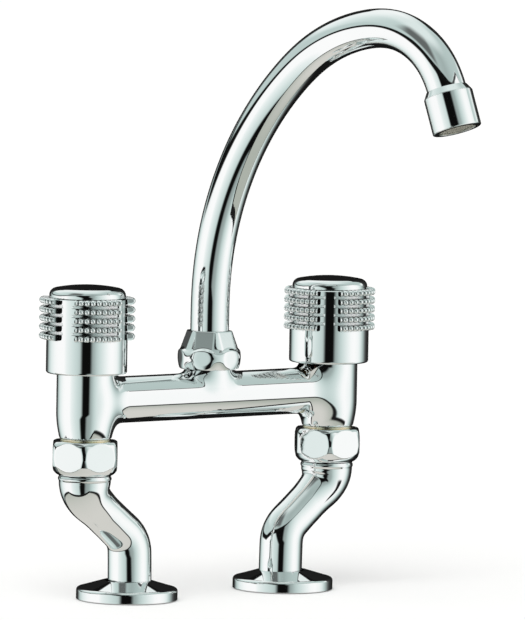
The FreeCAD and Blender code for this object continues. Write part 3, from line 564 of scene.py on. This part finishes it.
def legTube(shape):
    lean = radians(shape["angle"])
    slant = (shape["offset"] - 2 * shape["bend"] * (1 - cos(lean))) / sin(lean)
    drop = 2 * shape["bend"] * sin(lean) + slant * cos(lean)
    bendTop = shape["top"] - shape["topRun"]
    runs = ((shape["topRun"], 0), (shape["bend"], -shape["angle"]), (slant, 0),
            (shape["bend"], shape["angle"]), (bendTop - drop, 0))
    line = tubeLine(runs, shape["top"], 180, shape["step"], shape["ease"])
    middle = bendTop - drop / 2
    outer, inner = [], []
    for out, z, heading in line:
        end, bore = (shape["shoulder"], shape["boreTop"]) if z > middle else (shape["foot"], shape["bore"])
        share = smoothStep((abs(z - middle) - shape["waistHalf"]) / (drop / 2 - shape["waistEase"]))
        roll = (shape["collarTop"] - z) / shape["collarHeight"]
        collar = shape["collar"] * sin(pi * roll) if 0 < roll < 1 else 0.0
        outer.append(shape["waist"] + (end - shape["waist"]) * share + collar)
        narrow = shape["bore"] + (bore - shape["bore"]) * share
        inner.append(shape["socket"] if z < shape["socketTop"] else narrow)
    neck = [(0.0, shape["neckTop"], pi), (0.0, shape["top"], pi)]
    return tubeGrid(neck + line, [shape["neck"]] * 2 + outer, [shape["boreTop"]] * 2 + inner, shape["around"])


for side, x in sides.items():
    facing = Matrix.Translation((x * mm, 0, 0)) @ Matrix.Rotation(0 if x < 0 else pi, 4, "Z")
    legGrid = legTube(legShape)
    leg = makePiece(side + "SwanLeg", [legGrid], "body", "smoothChrome", legShape["sharp"], facing)
    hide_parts(side + "_leg")

# Body casting: columns, bridge and boss flow into each other. The form is a field that is negative
# inside; it is meshed on a grid and every point is then drawn onto the true surface.
castShape = {
    "step": 0.9, "low": (-90.6, -16.8, 81.2), "high": (90.6, 16.8, 123.4),
    "probe": 0.02, "leastSlope": 0.05, "passes": 4, "sharp": 60.0,
    "column": 14.8, "columnFoot": 13.0, "columnBottom": 82.3, "columnTop": 118.3, "columnBlend": 7.0,
    "taper": 13.7, "taperLimit": 0.9, "edge": 0.5,
    "bridge": 11.7, "bridgeLevel": 100.7, "bridgeEnd": 71.5, "endBlend": 6.0,
    "boss": 11.2, "bossTop": 122.5, "bossBlend": 7.5,
    "tuckTop": 112.0, "tuckReach": 6.0, "tuckDepth": 1.6,
    "fadeTop": 106.0, "fadeReach": 8.0, "fadeDepth": 6.0,
}


def blendLeast(a, b, reach):
    meet = np.maximum(reach - np.abs(a - b), 0) / reach
    return np.minimum(a, b) - meet * meet * reach / 4


def castField(x, y, z, shape=castShape):
    # each column narrows to its foot along an arc
    drop = shape["column"] - shape["columnFoot"]
    curve = (shape["taper"] ** 2 + drop ** 2) / (2 * drop)
    under = np.clip(shape["columnBottom"] + shape["taper"] - z, 0, curve * shape["taperLimit"])
    radius = shape["column"] - curve + np.sqrt(curve ** 2 - under ** 2)
    column = np.hypot(np.abs(x) - sides["cold"], y) - radius
    ends = np.maximum(shape["columnBottom"] - z, z - shape["columnTop"])
    column = -blendLeast(-column, -ends, shape["edge"])
    # the bridge ends softly inside the columns, so that no crease shows on their outer sides
    bridge = shape["bridge"] - np.hypot(y, z - shape["bridgeLevel"])
    bridge = -blendLeast(bridge, shape["bridgeEnd"] - np.abs(x), shape["endBlend"])
    # low down the boss keeps inside the bridge's own front, and at half height it is gone
    boss = np.hypot(x, y) - shape["boss"]
    for stage in ("tuck", "fade"):
        low = np.clip((shape[stage + "Top"] - z) / shape[stage + "Reach"], 0, 1)
        boss = boss + shape[stage + "Depth"] * low * low * (3 - 2 * low)
    boss = np.maximum(boss, np.maximum(z - shape["bossTop"], shape["bridgeLevel"] - z))
    return blendLeast(blendLeast(bridge, boss, shape["bossBlend"]), column, shape["columnBlend"])


def castSlope(spots):
    x, y, z = spots.T
    tiny = castShape["probe"]
    return np.stack([castField(x + tiny, y, z) - castField(x - tiny, y, z),
                     castField(x, y + tiny, z) - castField(x, y - tiny, z),
                     castField(x, y, z + tiny) - castField(x, y, z - tiny)], 1) / (2 * tiny)


def castGrid(shape):
    axes = [np.arange(low, high, shape["step"]) for low, high in zip(shape["low"], shape["high"])]
    field = castField(*np.meshgrid(*axes, indexing="ij"))
    inside = field < 0
    cells = [len(axis) - 1 for axis in axes]
    total = np.zeros(cells + [3])
    count = np.zeros(cells)
    corners = [(i, j, k) for i in (0, 1) for j in (0, 1) for k in (0, 1)]

    def part(grid, corner):
        return grid[tuple(slice(c, c + n) for c, n in zip(corner, cells))]

    # each cell that the surface crosses gets one point, the mean of its crossings
    for a in corners:
        for way in range(3):
            if a[way]:
                continue
            b = tuple(c + (i == way) for i, c in enumerate(a))
            crossed = part(inside, a) != part(inside, b)
            gap = part(field, b) - part(field, a)
            share = np.where(crossed, -part(field, a) / np.where(crossed, gap, 1.0), 0.0)
            for i in range(3):
                total[..., i] += np.where(crossed, a[i] + (share if i == way else 0.0), 0.0)
            count += crossed
    used = np.argwhere(count > 0)
    number = np.full(cells, -1)
    number[tuple(used.T)] = np.arange(len(used))
    offset = total[tuple(used.T)] / count[tuple(used.T)][:, None]
    spots = np.array(shape["low"]) + (used + offset) * shape["step"]
    for turn in range(shape["passes"]):
        slope = castSlope(spots)
        steep = np.maximum((slope ** 2).sum(1), shape["leastSlope"])
        spots -= slope * (castField(*spots.T) / steep)[:, None]

    # each grid edge that the surface crosses gets one face, between the four cells round it
    faces = []
    for way in range(3):
        across, onward = (way + 1) % 3, (way + 2) % 3
        ahead = np.roll(inside, -1, way)
        for spot in np.argwhere(inside != ahead):
            if spot[way] >= cells[way] or min(spot[across], spot[onward]) < 1:
                continue
            ring = []
            for i, j in ((1, 1), (0, 1), (0, 0), (1, 0)):
                cell = list(spot)
                cell[across] -= i
                cell[onward] -= j
                ring.append(int(number[tuple(cell)]))
            faces.append(tuple(ring))
    return [tuple(spot) for spot in spots], faces


bodyGrid = castGrid(castShape)
casting = makePiece("bodyCasting", [bodyGrid], "body", "smoothChrome", castShape["sharp"])
skin = np.empty(len(casting.data.vertices) * 3)
casting.data.vertices.foreach_get("co", skin)
slopes = castSlope(skin.reshape(-1, 3) / mm)
casting.data.normals_split_custom_set_from_vertices(slopes / np.linalg.norm(slopes, axis=1)[:, None])
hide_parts("bridge_body")

# Nuts: a ball cut by round polished flats, with its own outline at the corners; the spout's nut
# also tapers upwards as a hexagon. Outlines are (z, radius).
unionShape = {
    "bottom": 63.9, "top": 81.1, "roof": 68.0, "foot": 10.5, "bore": 12.6, "sides": 6,
    "outline": ((63.9, 13.6), (64.6, 14.9), (65.6, 16.0), (67.0, 16.9), (69.0, 17.6), (72.5, 18.0),
                (76.0, 17.85), (79.0, 17.55), (80.2, 17.2), (80.8, 16.7), (81.1, 16.0)),
    "footRound": ((63.9, 13.3), (64.3, 14.2), (65.0, 15.0), (66.0, 15.8), (67.0, 16.4), (68.0, 17.0),
                  (69.5, 18.5)),
    "footBlend": 0.4, "ball": 18.03, "flat": 16.0, "flatLevel": 72.5, "corner": 15.0, "rounding": 0.12,
    "around": 360, "levels": 60, "sharp": 50.0,
}
unionTurns = {"hot": 24.0, "cold": 29.0}
spoutNutShape = {
    "bottom": 114.4, "top": 133.6, "roof": 129.3, "foot": 11.3, "bore": 10.05, "sides": 6, "turn": 42.0,
    "outline": ((114.4, 13.7), (115.2, 14.4), (116.4, 15.05), (118.0, 15.68), (119.4, 15.95), (120.6, 16.0),
                (121.8, 15.84), (123.0, 15.4), (124.3, 14.7), (126.0, 14.1), (129.8, 12.8), (133.6, 11.5)),
    "ball": 16.0, "flat": 15.3, "flatLevel": 120.3, "corner": 16.0, "rounding": 0.5,
    "around": 360, "levels": 72, "sharp": 50.0,
    "facet": {"top": 10.45, "slope": 0.37, "foot": 123.9, "arch": 1.6, "half": 6.0, "blend": 1.5,
              "rounding": 0.25},
}
nutRim = 0.15        # the first and last rings stand back by this
nutTaps = [0.2 * k for k in range(-3, 4)]        # the outline is averaged over these steps of height


def nutOutline(rows, z):
    for (lowZ, low), (highZ, high) in zip(rows, rows[1:]):
        if z <= highZ:
            return low + (high - low) * (z - lowZ) / (highZ - lowZ)
    return rows[-1][1]


def softLeast(a, b, reach):
    meet = max(reach - abs(a - b), 0.0) / reach
    return min(a, b) - meet * meet * reach / 4


def nutRadius(shape, angle, z):
    span = 360 / shape["sides"]
    off = (angle + span / 2) % span - span / 2
    outline = sum(nutOutline(shape["outline"], z + tap) for tap in nutTaps) / len(nutTaps)
    ball = sqrt(shape["ball"] ** 2 - (z - shape["flatLevel"]) ** 2)
    swell = ball + (outline - ball) * smoothStep((abs(off) - shape["corner"]) / (span / 2 - shape["corner"]))
    lean = cos(radians(off))
    low = softLeast(shape["flat"] / lean, swell, shape["rounding"])
    if "footRound" in shape:
        low = softLeast(low, nutOutline(shape["footRound"], z), shape["footBlend"])
    facet = shape.get("facet")
    if not facet:
        return low
    # the hexagon's faces start in an arch over each round flat
    aside = outline * sin(radians(off))
    foot = facet["foot"] + facet["arch"] * (1 - (aside / facet["half"]) ** 2)
    high = softLeast((facet["top"] + (shape["top"] - z) * facet["slope"]) / lean, outline, facet["rounding"])
    return high + (low - high) * smoothStep((foot - z) / facet["blend"])


def nutGrid(shape, turn, x=0.0):
    tall = shape["top"] - shape["bottom"]
    levels = [shape["bottom"] + tall * i / shape["levels"] for i in range(shape["levels"] + 1)]
    inside = [(shape["bore"], shape["top"]), (shape["bore"], shape["roof"]), (shape["foot"], shape["roof"]),
              (shape["foot"], shape["bottom"])]
    points = []
    for i in range(shape["around"]):
        angle = 360 * i / shape["around"]
        outside = [(nutRadius(shape, angle - turn, z), z) for z in levels]
        for end in (0, -1):
            outside[end] = (outside[end][0] - nutRim, levels[end])
        a = radians(angle)
        points += [(x + r * cos(a), r * sin(a), z) for r, z in outside + inside]
    return points, gridFaces(shape["around"], len(points) // shape["around"], True, True)


spoutNutGrid = nutGrid(spoutNutShape, spoutNutShape["turn"])
nut = makePiece("spoutNut", [spoutNutGrid], "body", "smoothChrome", spoutNutShape["sharp"])
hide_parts("spout_nut")
for side, x in sides.items():
    unionGrid = nutGrid(unionShape, unionTurns[side], x)
    nut = makePiece(side + "UnionNut", [unionGrid], "body", "smoothChrome", unionShape["sharp"])
    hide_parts(side + "_union_nut")

# Spout: one tube whose bend tightens smoothly from the riser to the outlet.
spoutShape = {
    "foot": 126.4, "runs": ((18.9, 0.0), (164.3, 49.0), (87.7, 35.9), (41.9, 75.3), (10.0, 0.0)),
    "outer": 9.75, "inner": 8.7, "ease": 9.0, "step": 0.6, "around": 96, "sharp": 50.0, "swing": -76.0,
}
spoutLine = tubeLine(spoutShape["runs"], spoutShape["foot"], 0, spoutShape["step"], spoutShape["ease"])
spoutRows = len(spoutLine)
spoutGrid = tubeGrid(spoutLine, [spoutShape["outer"]] * spoutRows, [spoutShape["inner"]] * spoutRows,
                     spoutShape["around"])
swing = Matrix.Rotation(radians(spoutShape["swing"]), 4, "Z")
tube = makePiece("spoutTube", [spoutGrid], "spout", "smoothChrome", spoutShape["sharp"], swing)
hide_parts("spout_tube")

# Aerator screen: a woven wire disc just inside the housing's lip. Its level counts from the end fitting's
# origin, which lies back along the tube from the outlet.
screenShape = {"radius": 9.85, "pitch": 0.95, "wire": 0.17, "weave": 0.15, "level": 19.6, "back": 9.3,
               "around": 6, "stepsPerPitch": 8, "leastSteps": 6, "sharp": 50.0}
outletOut, outletZ, heading = spoutLine[-1]
origin = (outletOut - screenShape["back"] * sin(heading), 0, outletZ - screenShape["back"] * cos(heading))
aeratorPlace = swing @ Matrix.Translation(Vector(origin) * mm) @ Matrix.Rotation(heading, 4, "Y")


def wireGrid(shape, offset, across, phase):
    reach = sqrt(shape["radius"] ** 2 - offset ** 2)
    steps = max(int(reach / shape["pitch"] * shape["stepsPerPitch"]), shape["leastSteps"])
    points = []
    for i in range(steps + 1):
        run = -reach + 2 * reach * i / steps
        lift = shape["weave"] * cos(pi * run / shape["pitch"] + phase)
        for k in range(shape["around"]):
            a = 2 * pi * k / shape["around"]
            side, up = shape["wire"] * cos(a) + offset, shape["wire"] * sin(a) + lift + shape["level"]
            points.append((run, side, up) if across else (side, run, up))
    return cappedGrid(points, steps + 1)


wires = []
wireCount = int(screenShape["radius"] / screenShape["pitch"])
for i in range(-wireCount, wireCount + 1):
    for across in (True, False):
        wires.append(wireGrid(screenShape, i * screenShape["pitch"], across, pi * (i + (not across))))
screen = makePiece("aeratorMesh", wires, "spout", "mesh", screenShape["sharp"], aeratorPlace)
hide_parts("aerator_screen")

# Studio: pale floor, white surround and a soft key lamp; the camera's place is in mm and degrees.
studio = {
    "azimuth": -36.0, "elevation": 4.70, "distance": 3501.8, "roll": 1.0,
    "target": (0.0, 0.0, 150.0), "right": 26.5, "up": -5.7,
    "focalPixels": 6945.7, "imageTall": 620, "sensor": 36.0, "farClip": 200.0,
    "floorColour": (0.82, 0.82, 0.81, 1.0), "floorGlow": 0.2, "floorReach": 30.0, "floorDrop": 0.0002,
    "ambient": 0.6, "keyStrength": 1.6, "keySpread": 50.0, "keyTilt": (32.0, -14.0),
}
azimuth, elevation = radians(studio["azimuth"]), radians(studio["elevation"])
toCamera = Vector((sin(azimuth) * cos(elevation), -cos(azimuth) * cos(elevation), sin(elevation)))
levelToCamera = Vector((sin(azimuth), -cos(azimuth), 0))
rightHand = Vector((cos(azimuth), sin(azimuth), 0))
upward = toCamera.cross(rightHand)


def stagePiece(name, corners, material):
    mesh = bpy.data.meshes.new(name)
    mesh.from_pydata(corners, [], [tuple(range(len(corners)))])
    mesh.materials.append(material)
    piece = bpy.data.objects.new(name, mesh)
    scene.collection.objects.link(piece)
    return piece


def rayKind(tree, *names):
    # 1 for a ray of any of these kinds
    kinds = [tree.add("ShaderNodeLightPath", out=name) for name in names]
    either = kinds[0]
    for kind in kinds[1:]:
        either = either | kind
    return either


floorPaint = Finish("paleFloor")
plain = floorPaint.add("ShaderNodeBsdfDiffuse", {}, {"Color": studio["floorColour"]})
glow = floorPaint.add("ShaderNodeEmission", {}, {"Color": grey(1.0), "Strength": studio["floorGlow"]})
bright = floorPaint.add("ShaderNodeAddShader", {}, {0: plain, 1: glow})
seen = rayKind(floorPaint, "Is Camera Ray", "Is Glossy Ray", "Is Transmission Ray")
floorMix = floorPaint.add("ShaderNodeMixShader", {}, {0: seen, 1: plain, 2: bright})
floorPaint.add("ShaderNodeOutputMaterial", {}, {"Surface": floorMix})
reach = studio["floorReach"]
floorZ = cadBox[0][2] - studio["floorDrop"]
floorCorners = [(reach * x, reach * y, floorZ) for x, y in ((-1, -1), (1, -1), (1, 1), (-1, 1))]
floor = stagePiece("floor", floorCorners, floorPaint.material)
floor.visible_glossy = False        # the mirrors see the glowing table sheets, a painted reflection, instead

# Painted reflection: only the mirrors see this table, glowing sheets for a warm grey top, lighter near the tap,
# with a dark edge.
# Its corners are (right, front) from the spout's axis in mm; steep to clear say how much a ray grazes it, from 0
# straight down to 1.
tableLook = {
    "corners": ((120, 215), (33, 185), (-123, 100), (-300, 0), (-300, -15), (420, -15), (363, 14), (246, 161),
                (198, 208)),
    "middle": (60, 60), "edge": 1.13, "topLift": 0.0001, "edgeLift": 0.00002,
    "steep": 0.53, "rim": 0.57, "shallow": 0.59, "clear": 0.63,
    "near": (0.66, 0.65, 0.61, 1.0), "far": (0.43, 0.46, 0.41, 1.0), "nearReach": 0.06, "farReach": 0.21,
    "dark": (0.012, 0.012, 0.012, 1.0),
}


def tablePiece(name, corners, lift, isTop):
    paint = Finish(name)
    colour = tableLook["dark"]
    # painted reflection: the top glows lighter near the tap and darker further out
    if isTop:
        away = paint.add("ShaderNodeVectorMath", {"operation": "LENGTH"}, {0: paint.place}, "Value")
        share = paint.ease(away, tableLook["nearReach"], tableLook["farReach"])
        colour = paint.blend(share, tableLook["near"], tableLook["far"])
    # at a shallow angle the sheet shows a painted dark rim, then is only a gloss and shows the room
    facing = paint.add("ShaderNodeLayerWeight", {}, {"Blend": 0.5}, "Facing")
    rim = paint.ease(facing, tableLook["steep"], tableLook["rim"])
    gloss = paint.ease(facing, tableLook["shallow"], tableLook["clear"])
    # both colours glow with no lamp, so the table's look in the mirrors is painted
    glow, dark = [paint.add("ShaderNodeEmission", {}, {"Color": shade, "Strength": 1.0})
                  for shade in (colour, tableLook["dark"])]
    clear = paint.add("ShaderNodeBsdfTransparent")
    shown = paint.add("ShaderNodeMixShader", {}, {0: rim, 1: glow, 2: dark})
    shown = paint.add("ShaderNodeMixShader", {}, {0: gloss, 1: shown, 2: clear})
    paint.add("ShaderNodeOutputMaterial", {}, {"Surface": shown})
    places = [(rightHand * right + levelToCamera * front) * mm for right, front in corners]
    piece = stagePiece(name, [(spot.x, spot.y, floorZ + lift) for spot in places], paint.material)
    piece.visible_camera = piece.visible_diffuse = piece.visible_shadow = False


middle = tableLook["middle"]
outer = [[m + (c - m) * tableLook["edge"] for c, m in zip(corner, middle)] for corner in tableLook["corners"]]
tablePiece("paintedTableTop", tableLook["corners"], tableLook["topLift"], True)
tablePiece("paintedTableEdge", outer, tableLook["edgeLift"], False)
print("floor and table are set")

# What the mirrors see, in degrees of bearing from the camera and of height: white panels left and right,
# a dark gap at the camera, a dark line where walls and ceiling meet and a dark hatch in the ceiling.
# Lists are (bearing, tone or degrees), the gap's two sides (height, bearing); pairs are where a change
# starts and ends.
roomLook = {
    "panels": (
        (-180, 0.01), (-152, 0.02), (-145, 0.08), (-139, 0.32), (-132, 0.62), (-117, 0.86), (-100, 0.97),
        (-88, 1.0), (-66, 1.0), (-57, 0.90), (-39, 0.77), (-24, 0.66), (2, 0.30), (21, 0.42), (30, 0.60),
        (39, 0.72), (57, 0.90), (68, 0.98), (80, 1.0), (95, 0.95), (104, 0.84), (114, 0.58), (122, 0.32),
        (130, 0.10), (140, 0.03), (180, 0.01),
    ),
    "redLoss": 0.18, "blueLoss": 0.03,
    "gapLeft": ((-90, -8), (-60, -18), (-40, -21), (-12, -22), (-8, -14), (-2, -14), (4, -22), (20, -38),
                (30, -40)),
    "gapRight": ((-90, 45), (-60, 30), (-45, 6), (-30, 2), (-10, 3), (-7, 15), (-1, 17), (4, 8), (30, 8)),
    "gapEdge": (-5.0, 5.0), "gapTone": 0.004,
    "backFloorBearing": (128, 150), "backFloorHeight": (-26, -12), "backFloorTone": 0.008,
    "wallTop": (
        (-180, 29), (-172, 30), (-158, 36), (-146, 30), (-136, 9), (-125, 5), (-90, 6), (-75, 13), (-60, 20),
        (-40, 23), (-20, 27), (0, 30), (15, 31), (35, 33), (60, 36), (85, 36), (98, 24), (110, 9), (126, 9),
        (138, 32), (150, 45), (164, 38), (174, 29), (180, 29),
    ),
    "wallEdge": (0.0, 2.5),
    "lineWidth": (
        (-180, 2.0), (-155, 4.0), (-100, 4.0), (-88, 5.0), (-75, 6.0), (-60, 6.5), (-40, 5.5), (-20, 4.5),
        (0, 3.0), (18, 1.8), (35, 1.2), (60, 1.3), (88, 1.3), (98, 0.1), (135, 0.1), (150, 1.0), (180, 2.0),
    ),
    "lineEdge": (0.6, 1.1), "lineFade": (0.2, 1.5), "lineTone": 0.006,
    "lowCeiling": (
        (-180, 0.92), (-165, 0.80), (-145, 0.66), (-110, 0.62), (-90, 0.62), (-60, 0.64), (-25, 0.54),
        (0, 0.47), (20, 0.44), (50, 0.56), (72, 0.70), (90, 0.62), (112, 0.66), (122, 0.90), (150, 0.95),
        (180, 0.92),
    ),
    "ceiling": (
        (-180, 0.95), (-160, 0.94), (-135, 0.92), (-115, 0.84), (-98, 0.74), (-80, 0.66), (-60, 0.62),
        (-25, 0.54), (0, 0.47), (20, 0.44), (50, 0.52), (72, 0.56), (100, 0.58), (130, 0.58), (150, 0.70),
        (180, 0.92),
    ),
    "ceilingRise": (22, 31), "zenith": 0.82, "zenithRise": (52, 78),
    "hatch": -42, "hatchReach": (16, 34), "hatchRise": (29, 38), "hatchTone": 0.14,
}


def tinted(level):
    # panels of middle brightness look a little green
    green = 4 * level * (1 - level)
    red, blue = [level * (1 - roomLook[loss] * green) for loss in ("redLoss", "blueLoss")]
    return (red, level, blue, 1.0)


world = bpy.data.worlds.new("studioRoom")
scene.world = world
room = Tree(world)
ray = room.add("ShaderNodeTexCoord", out="Generated")


def along(direction):
    return room.add("ShaderNodeVectorMath", {"operation": "DOT_PRODUCT"}, {0: ray, 1: direction}, "Value")


def single(operation, value):
    return room.add("ShaderNodeMath", {"operation": operation}, {0: value})


def ease(value, name):
    return room.ease(value, *roomLook[name])


def rampBy(angle, span, stops):
    # a ramp over an angle between -span and span
    places = [((at + span) / (2 * span), colour) for at, colour in stops]
    return room.add("ShaderNodeValToRGB", {"stops": places}, {0: angle / (2 * span) + 0.5})


def toneBy(angle, span, stops):
    return rampBy(angle, span, [(at, tinted(level)) for at, level in stops])


def valueBy(angle, span, stops, scale):
    # a number between -scale and scale, kept as a grey between 0 and 1 in the ramp
    ramp = rampBy(angle, span, [(at, grey(0.5 + number / (2 * scale))) for at, number in stops])
    return (ramp - 0.5) * (2 * scale)


front, rise = along(levelToCamera), along(Vector((0, 0, 1)))
bearing = room.add("ShaderNodeMath", {"operation": "ARCTAN2"}, {0: along(rightHand), 1: front}) * degrees(1)
height = single("ARCSINE", rise) * degrees(1)

gapLeft = valueBy(height, 90, roomLook["gapLeft"], 90)
gapRight = valueBy(height, 90, roomLook["gapRight"], 90)
gap = ease(bearing - gapLeft, "gapEdge") * (1 - ease(bearing - gapRight, "gapEdge"))
mirrorLight = room.blend(gap, toneBy(bearing, 180, roomLook["panels"]), grey(roomLook["gapTone"]))

backFloor = ease(single("ABSOLUTE", bearing), "backFloorBearing") * (1 - ease(height, "backFloorHeight"))
mirrorLight = room.blend(backFloor, mirrorLight, grey(roomLook["backFloorTone"]))

lowCeiling, ceiling = [toneBy(bearing, 180, roomLook[name]) for name in ("lowCeiling", "ceiling")]
ceiling = room.blend(ease(height, "ceilingRise"), lowCeiling, ceiling)
besideHatch = single("ABSOLUTE", bearing - roomLook["hatch"])
hatch = (1 - ease(besideHatch, "hatchReach")) * ease(height, "hatchRise")
ceiling = room.blend(hatch, ceiling, tinted(roomLook["hatchTone"]))
ceiling = room.blend(ease(height, "zenithRise"), ceiling, tinted(roomLook["zenith"]))

overWall = height - valueBy(bearing, 180, roomLook["wallTop"], 90)
mirrorLight = room.blend(ease(overWall, "wallEdge"), mirrorLight, ceiling)
lineWidth = valueBy(bearing, 180, roomLook["lineWidth"], 10)
wallLine = (1 - ease(single("ABSOLUTE", overWall) / lineWidth, "lineEdge")) * ease(lineWidth, "lineFade")
mirrorLight = room.blend(wallLine, mirrorLight, grey(roomLook["lineTone"]))

# mirrors see the room, the camera sees plain white, and all other rays get an even light
mirrorRoom = room.add("ShaderNodeBackground", {}, {"Color": mirrorLight, "Strength": 1.0})
softRoom = room.add("ShaderNodeBackground", {}, {"Color": grey(1.0), "Strength": studio["ambient"]})
whiteRoom = room.add("ShaderNodeBackground", {}, {"Color": grey(1.0), "Strength": 1.0})
mirrorRay = rayKind(room, "Is Glossy Ray", "Is Transmission Ray")
roomMix = room.add("ShaderNodeMixShader", {}, {0: mirrorRay, 1: softRoom, 2: mirrorRoom})
roomMix = room.add("ShaderNodeMixShader", {}, {0: rayKind(room, "Is Camera Ray"), 1: roomMix, 2: whiteRoom})
room.add("ShaderNodeOutputWorld", {}, {"Surface": roomMix})

lamp = bpy.data.lights.new("softKey", "SUN")
lamp.energy = studio["keyStrength"]
lamp.angle = radians(studio["keySpread"])
keyLamp = bpy.data.objects.new("softKey", lamp)
keyLamp.rotation_euler = (*[radians(tilt) for tilt in studio["keyTilt"]], azimuth)
keyLamp.visible_glossy = False
scene.collection.objects.link(keyLamp)
print("room and lamp are set")

# Camera at the photograph's angle; the image is taller than wide, so its height spans the sensor.
lens = bpy.data.cameras.new("camera")
lens.sensor_width = studio["sensor"]
lens.lens = studio["focalPixels"] * studio["sensor"] / studio["imageTall"]
lens.clip_end = studio["farClip"]
lens.dof.use_dof = False
camera = bpy.data.objects.new("camera", lens)
roll = radians(studio["roll"])
across = rightHand * cos(roll) + upward * sin(roll)
upright = upward * cos(roll) - rightHand * sin(roll)
aim = Vector(studio["target"]) + rightHand * studio["right"] + upward * studio["up"]
place = Matrix((across, upright, toCamera)).transposed().to_4x4()
place.translation = (aim + toCamera * studio["distance"]) * mm
camera.matrix_world = place
scene.collection.objects.link(camera)
scene.camera = camera

scene.view_settings.view_transform = "Standard"
